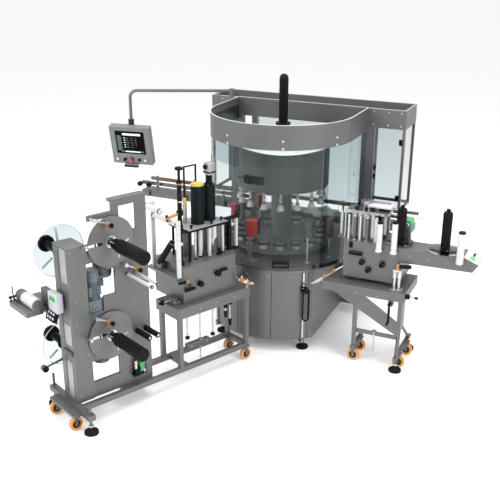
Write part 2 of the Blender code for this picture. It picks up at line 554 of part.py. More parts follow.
left_parts = [
    foot(0.0, 0.0, 0.26, LEFT), foot(0.0, FOOT_SPAN, 0.30, LEFT),
    box(-0.029, 1.84, 0.14, 0.18, 0.131, RAIL_TOP - 0.001, LEFT),
    box(-0.028, 1.841, 0.42, 0.46, 0.131, RAIL_TOP - 0.001, LEFT),
    box(0.44, 0.75, 0.15, 0.45, 0.14, RAIL_TOP - 0.002, LEFT),
    box(1.10, 1.14, 0.15, 0.45, 0.133, RAIL_TOP - 0.003, LEFT),
    box(1.80, 1.84, 0.139, 0.461, 0.132, RAIL_TOP - 0.002, LEFT),
    box(1.0, 1.842, 0.13, 0.47, SHELF_TOP - 0.10, SHELF_TOP, LEFT)]
for u in (1.02, 1.799):
    for w in (0.141, 0.419):
        left_parts.append(box(u, u + 0.04, w, w + 0.04, 0.135, SHELF_TOP - 0.05, LEFT))
for (u, w) in WHEEL_SPOTS:
    left_parts += fork(u, w, 0.15, LEFT)
left_parts.append(box(-0.105, 0.01, 0.09, 0.51, 0.132, 0.152, LEFT))
axis_left = LEFT.inverted() @ Vector((CELL_X, CELL_Y, 0))
DOCK_NEAR = 0.435
DOCK_FAR = 0.455
dock_end = axis_left.x - math.sqrt(SKIRT_RADIUS ** 2 - (axis_left.y - DOCK_FAR) ** 2) - GAP
left_parts.append(box(1.83, dock_end, DOCK_NEAR, DOCK_FAR, SHELF_TOP - 0.045, SHELF_TOP - 0.02, LEFT))
node("left_base", "steel", box(-0.03, 0.03, -0.035, FOOT_SPAN + 0.035, 0.13, RAIL_TOP, LEFT), add=left_parts)
for number, (u, w) in enumerate(WHEEL_SPOTS):
    wheel(f"left_castor_{number + 1}", u, w, LEFT)

TOWER_FOOT = RAIL_TOP + GAP
node("tower", "steel", box(0.0, TOWER_WIDE, TOWER_NEAR, TOWER_FAR, TOWER_FOOT, TOWER_TOP, LEFT),
     add=[box(-0.10, 0.05, TOWER_FAR - 0.01, TOWER_FAR + 0.42, 0.97, 0.985, LEFT),
          box(-0.24, -0.09, TOWER_FAR + 0.08, TOWER_FAR + 0.40, 0.94, 0.986, LEFT),
          rod((-0.14, TOWER_FAR + 0.06, 1.03), (-0.14, TOWER_FAR + 0.38, 1.03), 0.05, sides=16, at=LEFT),
          box(-0.055, -0.005, TOWER_FAR + 0.03, TOWER_FAR + 0.17, 0.983, 1.14, LEFT),
          box(0.02, 0.06, TOWER_FAR - 0.01, TOWER_FAR + 0.06, 0.49, 0.505, LEFT),
          rod((0.04, TOWER_FAR + 0.04, 0.498), (-0.15, TOWER_FAR + 0.04, 0.468), 0.011, sides=8, at=LEFT),
          rod((-0.15, TOWER_FAR + 0.02, 0.468), (-0.15, TOWER_FAR + 0.06, 0.468), 0.028, sides=10, at=LEFT)])
PLATE_FAR = PLATE_NEAR + PLATE_THICK
AXLE_U = 0.40
AXLE_Z = 1.545
LOW_U = 0.355
LOW_Z = 0.72
node("reel_plate", "steel", box(0.43, 0.757, PLATE_NEAR, PLATE_FAR, TOWER_FOOT, 1.89, LEFT),
     add=[box(TOWER_WIDE + GAP, 0.44, PLATE_NEAR + GAP, PLATE_FAR - 0.001, 1.40, 1.56, LEFT),
          box(TOWER_WIDE + GAP, 0.44, PLATE_NEAR + GAP, PLATE_FAR - 0.001, 0.52, 0.955, LEFT),
          box(0.21, 0.44, PLATE_NEAR + GAP, PLATE_FAR - 0.001, 1.75, 1.795, LEFT),
          box(0.31, 0.44, PLATE_NEAR + 2 * GAP, PLATE_FAR - 0.002, 0.95, 1.08, LEFT),
          box(TOWER_WIDE + GAP, 0.44, PLATE_NEAR + GAP, PLATE_FAR - 0.001, TOWER_FOOT + 0.001, 0.32, LEFT),
          rod((0.40, 0.36, 1.20), (0.40, 0.36, 1.40), 0.072, sides=14, at=LEFT),
          box(0.36, 0.44, PLATE_FAR - 0.005, 0.32, 1.30, 1.39, LEFT),
          rod((0.34, 0.36, 0.42), (0.34, 0.36, 0.60), 0.070, sides=14, at=LEFT),
          box(0.30, 0.38, PLATE_FAR - 0.005, 0.32, 0.53, 0.59, LEFT),
          box(0.185, 0.32, PLATE_FAR - 0.004, 0.355, 0.915, 1.05, LEFT),
          rod((0.258, 0.295, 1.04), (0.258, 0.295, 1.31), 0.052, sides=14, at=LEFT),
          box(0.20, 0.315, 0.243, 0.35, 1.09, 1.17, LEFT),
          box(0.29, 0.35, 0.26, 0.33, 1.15, 1.24, LEFT),
          box(0.43, 0.757, PLATE_NEAR + GAP, PLATE_FAR + 0.05, 1.865, 1.889, LEFT)],
     cut=[box(0.495, 0.655, PLATE_NEAR - 0.02, PLATE_FAR + 0.02, 1.60, 1.825, LEFT),
          box(0.61, 0.70, PLATE_NEAR - 0.02, PLATE_FAR + 0.02, 0.225, 0.42, LEFT)])


def reel(name, u, z, back, reach):
    # Backing disc, thin shaft and the expanding mandrel, turning about an axis across the plate.
    near = PLATE_NEAR - GAP
    return node(name, "black", rod((u, near - 0.012, z), (u, near - 0.020, z), REEL_RADIUS, sides=32, at=LEFT),
                add=[rod((u, near, z), (u, 0.04, z), 0.03, sides=12, at=LEFT),
                     rod((u, back, z), (u, reach, z), MANDREL_RADIUS, sides=18, at=LEFT)],
                pivot=at_left(u, near, z))


reel("unwind_reel", AXLE_U, AXLE_Z, 0.055, -0.30)
reel("rewind_reel", LOW_U, LOW_Z, 0.075, -0.29)


def rear_reel(name, u, z, size):
    near = TOWER_FAR + GAP
    return node(name, "clear", rod((u, near + 0.115, z), (u, near + 0.123, z), size, sides=30, at=LEFT),
                add=[rod((u, near, z), (u, 0.76, z), 0.035, sides=12, at=LEFT),
                     rod((u, 0.755, z), (u, 0.785, z), 0.07, sides=16, at=LEFT)],
                pivot=at_left(u, near, z))


rear_reel("rear_reel_upper", 0.115, 1.435, 0.225)
rear_reel("rear_reel_lower", 0.09, 0.60, 0.20)
for name, kind, u, z, r, reach in (("nip_roller_1", "bright", 0.546, 1.22, 0.0155, -0.17),
                                   ("nip_roller_2", "bright", 0.628, 1.21, 0.0155, -0.13),
                                   ("nip_roller_3", "black", 0.618, 0.672, 0.025, 0.01),
                                   ("nip_roller_4", "black", 0.704, 0.672, 0.025, 0.01)):
    node(name, kind, rod((u, PLATE_NEAR - 0.006, z), (u, reach, z), r, sides=14, at=LEFT),
         add=[rod((u, PLATE_NEAR - GAP, z), (u, PLATE_NEAR - 0.01, z), 0.008, sides=8, at=LEFT)],
         pivot=at_left(u, PLATE_NEAR - GAP, z))
for name, pu, pz, eu, ez in (("dancer_upper", 0.23, 1.772, 0.36, 1.715), ("dancer_lower", 0.20, 0.930, 0.32, 0.868)):
    low = 0.135
    node(name, "bright", rod((pu, PLATE_NEAR - GAP, pz), (pu, low, pz), 0.014, sides=10, at=LEFT),
         add=[rod((pu, 0.15, pz), (eu, 0.15, ez), 0.0095, sides=8, at=LEFT),
              rod((eu, 0.165, ez), (eu, 0.11, ez), 0.018, sides=12, at=LEFT)],
         pivot=at_left(pu, PLATE_NEAR - GAP, pz))

# Left applicator station: web frame, body on the trolley, head with its drives
BODY_U0 = 1.12
BODY_U1 = 1.72
BODY_W0 = 0.20
BODY_W1 = 0.64
web_z = WORK_HEIGHT - 0.01
node("web_frame", "steel", box(1.04, BODY_U0 - GAP, BODY_W0 - 0.01, BODY_W1, web_z - 0.025, web_z, LEFT),
     add=[box(1.055, 1.095, 0.575, 0.590, web_z - 0.01, 1.66, LEFT),
          box(0.975, 1.094, 0.576, 0.589, 1.60, 1.66, LEFT),
          box(1.055, 1.095, 0.19, 0.205, web_z - 0.01, 1.57, LEFT),
          rod((1.075, 0.292, 1.35), (1.075, 0.50, 1.098), 0.028, sides=16, at=LEFT),
          box(1.06, 1.09, 0.46, 0.53, web_z - 0.01, 1.12, LEFT)])
node("web_roller_top", "bright", rod((1.075, 0.205 + GAP, 1.535), (1.075, 0.575 - GAP, 1.535), 0.022, sides=16, at=LEFT),
     pivot=at_left(1.075, 0.39, 1.535))
node("web_roller_large", "bright", rod((1.0, 0.345, 1.635), (1.0, 0.570, 1.635), 0.028, sides=16, at=LEFT),
     add=[rod((1.0, 0.565, 1.635), (1.0, 0.576 - GAP, 1.635), 0.01, sides=8, at=LEFT)],
     pivot=at_left(1.0, 0.46, 1.635))
levers = [rod((1.30, BODY_W0 + 0.01, 0.93), (1.30, BODY_W0 - 0.035, 0.93), 0.022, sides=12, at=LEFT),
          rod((1.50, BODY_W0 + 0.01, 0.98), (1.50, BODY_W0 - 0.035, 0.98), 0.022, sides=12, at=LEFT),
          box(1.12, 1.23, BODY_W0 - 0.035, BODY_W0 - 0.015, 0.90, 0.925, LEFT),
          rod((1.21, BODY_W0 + 0.01, 0.912), (1.21, BODY_W0 - 0.03, 0.912), 0.014, sides=10, at=LEFT)]
node("applicator_body", "steel", box(BODY_U0, BODY_U1, BODY_W0, BODY_W1, SHELF_TOP + GAP, HEAD_TOP, LEFT), add=levers)
PLATE_Z = 1.40
head_parts = [
    rod((1.27, 0.30, HEAD_TOP + GAP), (1.27, 0.30, PLATE_Z + 0.01), 0.012, sides=8, at=LEFT),
    rod((1.27, 0.55, HEAD_TOP + GAP), (1.27, 0.55, PLATE_Z + 0.01), 0.012, sides=8, at=LEFT),
    rod((1.64, 0.50, HEAD_TOP + GAP), (1.64, 0.50, PLATE_Z + 0.01), 0.012, sides=8, at=LEFT),
    rod((1.44, 0.40, PLATE_Z + 0.01), (1.44, 0.40, 1.80), 0.058, sides=16, at=LEFT),
    rod((1.59, 0.42, PLATE_Z + 0.01), (1.59, 0.42, 1.76), 0.054, sides=16, at=LEFT),
    tube([(1.37, 0.50, PLATE_Z + 0.01), (1.37, 0.50, 1.94), (1.50, 0.50, 1.94), (1.50, 0.50, PLATE_Z + 0.01)], 0.011, LEFT, sides=1),
    box(1.66, 1.885, 0.335, 0.385, PLATE_Z + 0.001, PLATE_Z + 0.019, LEFT),
    box(1.735, 1.885, 0.336, 0.384, HEAD_TOP - 0.02, HEAD_TOP - 0.005, LEFT),
    box(1.76, 1.79, 0.34, 0.38, HEAD_TOP - 0.01, PLATE_Z + 0.01, LEFT),
    box(1.165, 1.25, 0.29, 0.31, PLATE_Z + 0.002, PLATE_Z + 0.018, LEFT),
    turned([(0, 2.02), (0.032, 2.01), (0.012, 1.985), (0.012, 1.90), (0.02, 1.89), (0.02, HEAD_TOP + GAP),
            (0, HEAD_TOP + GAP)], 12, LEFT @ Matrix.Translation((1.17, 0.30, 0)))]
node("applicator_head", "black", box(1.24, 1.70, 0.27, 0.58, PLATE_Z, PLATE_Z + 0.02, LEFT), add=head_parts)
for name, u, w, low, high in (("web_roller_1", 1.496, 0.30, HEAD_TOP, PLATE_Z),
                              ("peel_roller", 1.865, 0.36, HEAD_TOP - 0.005, PLATE_Z + 0.001)):
    node(name, "bright", rod((u, w, low + 0.006), (u, w, high - 0.006), 0.0155, sides=14, at=LEFT),
         add=[rod((u, w, low + GAP), (u, w, high - GAP), 0.006, sides=8, at=LEFT)],
         pivot=at_left(u, w, 1.25))

# Right labelling unit: trolley, body with its long arm, head, rollers
right_wheels = ((0.986, -0.502), (0.986, -0.287), (1.423, -0.461), (1.434, -0.186))
right_parts = [
    foot(1.42, RIGHT_FRONT, 0.148, CELL), foot(1.42, -0.052, 0.148, CELL),
    box(0.967, 1.005, -0.53, -0.49, 0.135, RIGHT_SHELF - 0.05),
    box(0.966, 1.006, -0.54, -0.255, 0.131, 0.171),
    box(0.968, 1.43, -0.505, -0.492, 0.30, 0.34),
    box(1.40, 1.44, RIGHT_FRONT - 0.03, -0.02, 0.130, 0.155),
    box(1.401, 1.439, -0.54, -0.42, 0.41, RIGHT_SHELF - 0.05),
    rod((1.42, -0.50, 0.45), (1.42, RIGHT_FRONT + 0.005, 0.145), 0.018, sides=4),
    rod((1.42, -0.45, 0.45), (1.42, -0.08, 0.145), 0.018, sides=4)]
for x, y in right_wheels:
    right_parts += fork(x, y, 0.15, CELL)
right_parts.append(slab([(0.70, RIGHT_SHELF - 0.06), (1.43, 0.34), (1.43, 0.48), (1.02, RIGHT_SHELF - 0.06)], -0.538, -0.528))
right_parts.append(box(1.31, 1.35, -0.562, -0.50, 0.66, 0.72))
right_parts.append(box(0.662, 0.69, -0.20, -0.06, RIGHT_SHELF - 0.04, DECK_BOTTOM - GAP))
node("right_base", "steel", box(0.66, 1.46, RIGHT_FRONT, -0.04, RIGHT_SHELF - 0.085, RIGHT_SHELF), add=right_parts)
for number, (x, y) in enumerate(right_wheels):
    wheel(f"right_castor_{number + 1}", x, y, CELL)
tabs = [box(x - 0.03, x + 0.03, RIGHT_FACE - 0.065, RIGHT_FACE + 0.01, RIGHT_TOP - 0.062, RIGHT_TOP - 0.05) for x in (1.165, 1.305)]
tabs.append(box(1.875, 1.935, RIGHT_FACE - 0.065, RIGHT_FACE + 0.01, RIGHT_TOP - 0.062, RIGHT_TOP - 0.05))
right_knobs = [rod((x, RIGHT_FACE + 0.01, z), (x, RIGHT_FACE - 0.04, z), 0.024, sides=12)
               for x, z in ((1.005, 1.01), (1.07, 0.94), (1.20, 1.015))]
node("right_body", "steel", box(0.82, 1.37, RIGHT_FACE, -0.05, RIGHT_SHELF + 0.04, RIGHT_TOP),
     add=[slab([(1.36, RIGHT_TOP - 0.14), (2.02, RIGHT_TOP - 0.13), (2.07, RIGHT_TOP - 0.055), (1.93, ARM_TOP),
                (1.36, ARM_TOP)], RIGHT_FACE + 0.001, -0.20),
          box(0.90, 0.98, RIGHT_FACE + 0.06, -0.10, RIGHT_SHELF + GAP, RIGHT_SHELF + 0.05),
          box(1.22, 1.30, RIGHT_FACE + 0.06, -0.10, RIGHT_SHELF + GAP, RIGHT_SHELF + 0.05),
          box(0.88, 1.0, RIGHT_FACE - 0.03, RIGHT_FACE - 0.01, 1.075, 1.10),
          rod((0.94, RIGHT_FACE + 0.01, 1.088), (0.94, RIGHT_FACE - 0.02, 1.088), 0.010, sides=8)] + tabs + right_knobs)
for name, x, high in (("arm_roller_1", 1.165, 1.435), ("arm_roller_2", 1.305, 1.455), ("arm_roller_3", 1.905, 1.45)):
    low = RIGHT_TOP - 0.05 + GAP
    node(name, "bright", turned([(0, high), (0.026, high), (0.026, high - 0.012), (0.023, high - 0.013),
                                 (0.023, low + 0.012), (0.034, low + 0.008), (0.034, low), (0, low)], 16,
                                CELL @ Matrix.Translation((x, RIGHT_FACE - 0.035, 0))),
         pivot=at_cell(x, RIGHT_FACE - 0.035, low))
node("right_mandrel", "black",
     turned([(0, 1.575), (0.006, 1.575), (0.008, 1.55), (0.018, 1.545), (0.04, 1.53),
             (0.04, RIGHT_TOP + 0.01), (0.02, RIGHT_TOP + 0.01), (0.02, ARM_TOP + GAP), (0, ARM_TOP + GAP)], 18,
            CELL @ Matrix.Translation((1.745, -0.34, 0))),
     pivot=at_cell(1.745, -0.34, RIGHT_TOP))
node("right_head", "steel", box(0.86, 1.08, -0.36, -0.16, RIGHT_TOP + GAP, 1.46),
     add=[box(0.80, 1.20, -0.35, -0.17, 1.45, 1.475),
          rod((1.16, -0.26, 1.47), (1.16, -0.26, 1.20 + 0.06), 0.045, sides=12),
          rod((0.96, -0.26, 1.47), (0.96, -0.26, 1.56), 0.05, sides=12),
          rod((0.82, -0.30, 1.46), (0.82, -0.30, RIGHT_TOP + 0.02), 0.012, sides=10),
          tube([(1.0, -0.20, 1.47), (1.0, -0.20, 1.54), (1.18, -0.20, 1.54), (1.18, -0.20, 1.47)], 0.010, sides=1)])
node("right_reel", "black",
     turned([(0, 1.54), (0.02, 1.54), (0.042, 1.515), (0.042, RIGHT_TOP + 0.012),
             (0.02, RIGHT_TOP + 0.010), (0.02, RIGHT_TOP + GAP), (0, RIGHT_TOP + GAP)], 16,
            CELL @ Matrix.Translation((1.32, -0.30, 0))),
     pivot=at_cell(1.32, -0.30, RIGHT_TOP))
node("right_crank", "black", rod((1.33, -0.562 - GAP, 0.69), (1.33, -0.60, 0.69), 0.016, sides=12),
     add=[box(1.32, 1.34, -0.598, -0.588, 0.50, 0.70),
          rod((1.33, -0.59, 0.51), (1.33, -0.65, 0.51), 0.012, sides=12)],
     pivot=at_cell(1.33, -0.562 - GAP, 0.69))
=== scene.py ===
import math

import bmesh
import bpy
from mathutils import Matrix, Vector


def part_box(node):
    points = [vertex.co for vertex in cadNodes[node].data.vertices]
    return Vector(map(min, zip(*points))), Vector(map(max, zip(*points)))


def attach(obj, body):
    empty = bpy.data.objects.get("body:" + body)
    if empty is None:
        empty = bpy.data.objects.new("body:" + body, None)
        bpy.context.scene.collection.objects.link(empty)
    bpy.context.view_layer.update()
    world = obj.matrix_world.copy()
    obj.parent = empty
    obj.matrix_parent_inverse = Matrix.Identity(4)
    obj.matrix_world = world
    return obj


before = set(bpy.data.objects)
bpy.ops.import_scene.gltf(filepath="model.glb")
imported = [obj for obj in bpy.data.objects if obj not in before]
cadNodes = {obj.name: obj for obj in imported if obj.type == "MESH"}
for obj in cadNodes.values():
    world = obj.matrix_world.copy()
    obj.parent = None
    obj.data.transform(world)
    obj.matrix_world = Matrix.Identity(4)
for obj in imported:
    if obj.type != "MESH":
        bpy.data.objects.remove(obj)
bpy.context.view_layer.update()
print("frame loaded with", len(cadNodes), "nodes")

cellFrame = Matrix.Translation((-0.01, 0.895, 0.0))  # middle of the round cell
leftFrame = cellFrame @ Matrix.Translation((-0.599, -2.643, 0.0)) @ Matrix.Rotation(math.radians(65), 4,
    'Z')
panelFrame = (cellFrame @ Matrix.Translation((-1.79, 0.045, 1.75)) @ Matrix.Rotation(math.radians(9), 4,
    'Z') @ Matrix.Rotation(math.radians(13), 4, 'X'))


# Shader nodes: each input takes a value, or a link from the socket that feeds it
def feed(tree, node, inputs):
    for socket, value in inputs.items():
        if isinstance(value, bpy.types.NodeSocket):
            tree.links.new(value, node.inputs[socket])
        else:
            node.inputs[socket].default_value = value


def addNode(tree, kind, inputs, **settings):
    node = tree.nodes.new('ShaderNode' + kind)
    for name, value in settings.items():
        setattr(node, name, value)
    feed(tree, node, inputs)
    return node.outputs


def mathStep(tree, operation, first, second, clamp=False):
    return addNode(tree, 'Math', {0: first, 1: second}, operation=operation, use_clamp=clamp)[0]


def startGroup(name, inputs, output):
    group = bpy.data.node_groups.new(name, 'ShaderNodeTree')
    for label, value in inputs.items():
        kind = 'NodeSocketVector' if isinstance(value, tuple) else 'NodeSocketFloat'
        socket = group.interface.new_socket(name=label, in_out='INPUT', socket_type=kind)
        socket.default_value = value
    group.interface.new_socket(name=output, in_out='OUTPUT', socket_type='NodeSocketFloat')
    return group, group.nodes.new('NodeGroupInput'), group.nodes.new('NodeGroupOutput')


def buildGrain():
    # Fine noise stretched along chosen axes: brushed metal, moulded skin, cast paint.
    group, start, end = startGroup("surfaceGrain",
        {"Scale": 60.0, "Stretch": (1.0, 1.0, 1.0), "Detail": 3.0}, "Value")
    spot = addNode(group, 'TexCoord', {})['Object']
    spot = addNode(group, 'VectorMath', {0: spot, 1: start.outputs['Stretch']}, operation='MULTIPLY')[0]
    noise = addNode(group, 'TexNoise', {'Vector': spot, 'Scale': start.outputs['Scale'],
        'Detail': start.outputs['Detail']})[0]
    feed(group, end, {0: noise})
    return group


def buildWear():
    # Rubbed corners: where the rounded normal leaves the flat one, broken up by noise.
    group, start, end = startGroup("edgeWear", {"Width": 0.004, "Amount": 0.5}, "Mask")
    bevel = addNode(group, 'Bevel', {'Radius': start.outputs['Width']}, samples=4)[0]
    flat = addNode(group, 'NewGeometry', {})['Normal']
    dot = addNode(group, 'VectorMath', {0: bevel, 1: flat}, operation='DOT_PRODUCT')['Value']
    strong = mathStep(group, 'MULTIPLY', mathStep(group, 'SUBTRACT', 1.0, dot), 7.0, clamp=True)
    spot = addNode(group, 'TexCoord', {})['Object']
    noise = addNode(group, 'TexNoise', {'Vector': spot, 'Scale': 22.0})[0]
    broken = mathStep(group, 'MULTIPLY', strong, noise)
    feed(group, end, {0: mathStep(group, 'MULTIPLY', broken, start.outputs['Amount'], clamp=True)})
    return group


def buildDust():
    # Light dust that settles on faces looking up.
    group, start, end = startGroup("settledDust", {"Amount": 0.2}, "Mask")
    flat = addNode(group, 'NewGeometry', {})['Normal']
    up = mathStep(group, 'SUBTRACT', addNode(group, 'SeparateXYZ', {0: flat})['Z'], 0.6, clamp=True)
    spot = addNode(group, 'TexCoord', {})['Object']
    noise = addNode(group, 'TexNoise', {'Vector': spot, 'Scale': 6.0, 'Detail': 5.0})[0]
    patchy = mathStep(group, 'MULTIPLY', up, noise)
    feed(group, end, {0: mathStep(group, 'MULTIPLY', patchy, start.outputs['Amount'], clamp=True)})
    return group


def buildZone():
    # One where a point lies inside a box turned about the upright axis, else zero.
    nowhere = (0.0, 0.0, 0.0)
    group, start, end = startGroup("paintZone", {"Place": nowhere, "Turn": 0.0, "Half": (0.1, 0.1, 0.1)},
        "Mask")
    spot = addNode(group, 'TexCoord', {})['Object']
    away = addNode(group, 'VectorMath', {0: spot, 1: start.outputs['Place']}, operation='SUBTRACT')[0]
    spin = addNode(group, 'VectorRotate', {'Center': nowhere, 'Vector': away,
        'Angle': start.outputs['Turn']}, rotation_type='Z_AXIS')[0]
    size = addNode(group, 'VectorMath', {0: spin}, operation='ABSOLUTE')[0]
    inside = addNode(group, 'VectorMath', {0: start.outputs['Half'], 1: size}, operation='SUBTRACT')[0]
    parts = addNode(group, 'SeparateXYZ', {0: inside})
    least = mathStep(group, 'MINIMUM', mathStep(group, 'MINIMUM', parts['X'], parts['Y']), parts['Z'])
    feed(group, end, {0: mathStep(group, 'GREATER_THAN', least, 0.0)})
    return group


grainGroup = buildGrain()
wearGroup = buildWear()
dustGroup = buildDust()
zoneGroup = buildZone()
print("shader groups ready")


def placeGroup(tree, group, **values):
    placed = tree.nodes.new('ShaderNodeGroup')
    placed.node_tree = group
    feed(tree, placed, values)
    return placed.outputs[0]


def blendColour(tree, mask, first, second):
    first, second = ((*tone, 1.0) if isinstance(tone, tuple) else tone for tone in (first, second))
    return addNode(tree, 'Mix', {0: mask, 6: first, 7: second}, data_type='RGBA')[2]


def zoneMask(tree, zone):
    # A zone is (frame matrix, low corner, high corner) in that frame's own measure.
    place, low, high = zone
    low, high = Vector(low), Vector(high)
    return placeGroup(tree, zoneGroup, Place=tuple(place @ ((low + high) / 2)), Turn=-place.to_euler().z,
        Half=tuple((high - low) / 2))


def startMaterial(name):
    made = bpy.data.materials.new(name)
    made.use_nodes = True
    return made, made.node_tree, made.node_tree.nodes['Principled BSDF']


# What a finish has where its own look says nothing
plainLook = {"metal": 0.0, "coat": 0.0, "gloss": 0.5, "scale": 60.0, "stretch": (1.0, 1.0, 1.0),
    "spread": 0.18, "wear": 0.4, "wearWidth": 0.004, "worn": (0.72, 0.72, 0.72), "dust": 0.15, "bump": 0.15,
    "depth": 0.0006}
dustTone = (0.62, 0.6, 0.57)


def makeFinish(name, look, zones=()):
    # A look gives colour, second tone and rough, and what differs from the plain look.
    look = {**plainLook, **look}
    made, tree, shader = startMaterial(name)
    grain = placeGroup(tree, grainGroup, Scale=look["scale"], Stretch=look["stretch"])
    colour = blendColour(tree, grain, look["colour"], look["second"])
    for zone, paint in zones:
        colour = blendColour(tree, zoneMask(tree, zone), colour, paint)
    wear = placeGroup(tree, wearGroup, Width=look["wearWidth"], Amount=look["wear"])
    colour = blendColour(tree, wear, colour, look["worn"])
    dust = placeGroup(tree, dustGroup, Amount=look["dust"])
    colour = blendColour(tree, dust, colour, dustTone)
    rough = mathStep(tree, 'ADD', mathStep(tree, 'MULTIPLY', grain, look["spread"]),
        look["rough"] - look["spread"] / 2)
    rough = mathStep(tree, 'ADD', rough, mathStep(tree, 'MULTIPLY', dust, 0.5), clamp=True)
    bump = addNode(tree, 'Bump', {'Strength': look["bump"], 'Distance': look["depth"], 'Height': grain})[0]
    feed(tree, shader, {'Metallic': look["metal"], 'Coat Weight': look["coat"], 'Normal': bump,
        'Specular IOR Level': look["gloss"], 'Base Color': colour, 'Roughness': rough})
    return made


# Width of the rubbed edge on thin sheet: less than its thickness, or the far face is read as an edge too
sheetEdge = 0.0012


def makeGlass(name, look):
    # Tinted sheet: plain transmission with faint smears in the roughness.
    made, tree, shader = startMaterial(name)
    grain = placeGroup(tree, grainGroup, Scale=look["scale"], Stretch=(1.0, 1.0, 0.35))
    wear = placeGroup(tree, wearGroup, Width=sheetEdge, Amount=look["wear"])
    colour = blendColour(tree, wear, blendColour(tree, grain, look["colour"], look["second"]), look["edge"])
    feed(tree, shader, {'Transmission Weight': look["clear"], 'IOR': look["bend"], 'Metallic': 0.0,
        'Base Color': colour, 'Roughness': mathStep(tree, 'MULTIPLY', grain, look["smear"], clamp=True)})
    return made


def makeTintedSheet(name, look):
    # Smoked acrylic: part clear, part grey body colour, denser along its cut edges.
    made = makeFinish(name, look)
    tree = made.node_tree
    wear = placeGroup(tree, wearGroup, Width=sheetEdge, Amount=look["wear"])
    dense = mathStep(tree, 'ADD', mathStep(tree, 'MULTIPLY', wear, 0.35), look["dense"], clamp=True)
    feed(tree, tree.nodes['Principled BSDF'], {'Alpha': dense})
    return made


def makeScreen(name, look):
    made = makeFinish(name, look)
    feed(made.node_tree, made.node_tree.nodes['Principled BSDF'],
        {'Emission Color': (*look["glow"], 1.0), 'Emission Strength': look["power"]})
    return made


steelLook = {"colour": (0.122, 0.122, 0.124), "second": (0.146, 0.146, 0.148), "metal": 0.55, "rough": 0.42,
    "scale": 14.0, "stretch": (1.0, 1.0, 9.0), "bump": 0.08, "wear": 0.55, "worn": (0.5, 0.5, 0.5)}
brightLook = {"colour": (0.44, 0.44, 0.445), "second": (0.58, 0.58, 0.585), "metal": 0.85, "rough": 0.25,
    "scale": 50.0, "stretch": (1.0, 1.0, 6.0), "bump": 0.05, "wear": 0.3, "worn": (0.9, 0.9, 0.9)}
blackLook = {"colour": (0.005, 0.005, 0.006), "second": (0.011, 0.011, 0.012), "metal": 0.2, "rough": 0.38,
    "scale": 90.0, "bump": 0.15, "wear": 0.15, "worn": (0.03, 0.03, 0.03), "wearWidth": 0.002, "dust": 0.0,
    "gloss": 0.07}
redLook = {"colour": (0.42, 0.008, 0.01), "second": (0.55, 0.012, 0.014), "metal": 0.1, "rough": 0.35,
    "scale": 50.0, "bump": 0.1, "wear": 0.3, "worn": (0.75, 0.25, 0.22), "coat": 0.3}
drumLook = {"colour": (0.062, 0.066, 0.065), "second": (0.076, 0.08, 0.079), "metal": 0.4, "rough": 0.45,
    "scale": 20.0, "stretch": (1.0, 1.0, 8.0), "bump": 0.08, "wear": 0.5, "worn": (0.35, 0.36, 0.36)}

satinSteel = makeFinish("satinSteel", steelLook)
plateSteel = makeFinish("plateSteel", {"colour": (0.118, 0.118, 0.12), "second": (0.14, 0.14, 0.142),
    "metal": 0.5, "rough": 0.45, "scale": 16.0, "stretch": (7.0, 7.0, 1.0), "bump": 0.08, "wear": 0.6,
    "worn": (0.6, 0.6, 0.6)})
brightSteel = makeFinish("brightSteel", brightLook)
whiteSleeve = makeFinish("whiteSleeve", {"colour": (0.5, 0.5, 0.505), "second": (0.6, 0.6, 0.605),
    "metal": 0.1, "rough": 0.35, "scale": 30.0, "bump": 0.05, "wear": 0.2, "worn": (0.6, 0.6, 0.6),
    "coat": 0.2})
blackCoat = makeFinish("blackCoat", blackLook)
rubber = makeFinish("rubber", {"colour": (0.007, 0.007, 0.007), "second": (0.016, 0.016, 0.016),
    "rough": 0.62, "scale": 140.0, "bump": 0.3, "wear": 0.15, "worn": (0.03, 0.03, 0.03),
    "wearWidth": 0.002, "dust": 0.0, "gloss": 0.05})
orangePaint = makeFinish("orangePaint", {"colour": (0.6, 0.245, 0.045), "second": (0.72, 0.32, 0.07),
    "rough": 0.45, "scale": 60.0, "bump": 0.15, "wear": 0.3, "worn": (0.9, 0.55, 0.2)})
redPaint = makeFinish("redPaint", redLook)
brass = makeFinish("brass", {"colour": (0.34, 0.155, 0.035), "second": (0.47, 0.235, 0.06), "metal": 0.35,
    "rough": 0.35, "scale": 50.0, "bump": 0.12, "wear": 0.4, "worn": (0.85, 0.6, 0.35)})
motorPaint = makeFinish("motorPaint", {"colour": (0.1, 0.135, 0.155), "second": (0.15, 0.185, 0.205),
    "metal": 0.2, "rough": 0.5, "scale": 70.0, "bump": 0.25, "wear": 0.5, "worn": (0.4, 0.43, 0.45)})
greenPaint = makeFinish("greenPaint", {"colour": (0.03, 0.3, 0.08), "second": (0.05, 0.4, 0.12),
    "rough": 0.4, "scale": 60.0, "bump": 0.1, "wear": 0.2})
yellowPaint = makeFinish("yellowPaint", {"colour": (0.42, 0.34, 0.025), "second": (0.52, 0.42, 0.04),
    "metal": 0.1, "rough": 0.4, "scale": 60.0, "bump": 0.1, "wear": 0.3})
brownStrip = makeFinish("brownStrip", {"colour": (0.12, 0.085, 0.06), "second": (0.165, 0.12, 0.09),
    "rough": 0.5, "scale": 40.0, "stretch": (0.3, 4.0, 4.0), "bump": 0.1, "wear": 0.2})
darkSteel = makeFinish("darkSteel", drumLook)
panelPaint = makeFinish("panelPaint", {"colour": (0.15, 0.15, 0.152), "second": (0.176, 0.176, 0.178),
    "metal": 0.15, "rough": 0.4, "scale": 120.0, "bump": 0.12, "wear": 0.4, "worn": (0.8, 0.8, 0.8)},
    [((cellFrame, (-1.84, -0.01, 1.97), (-1.74, 0.1, 2.2)), (0.006, 0.006, 0.007))])
armSteel = makeFinish("armSteel", {**steelLook, "colour": (0.11, 0.11, 0.112),
    "second": (0.15, 0.15, 0.152)})
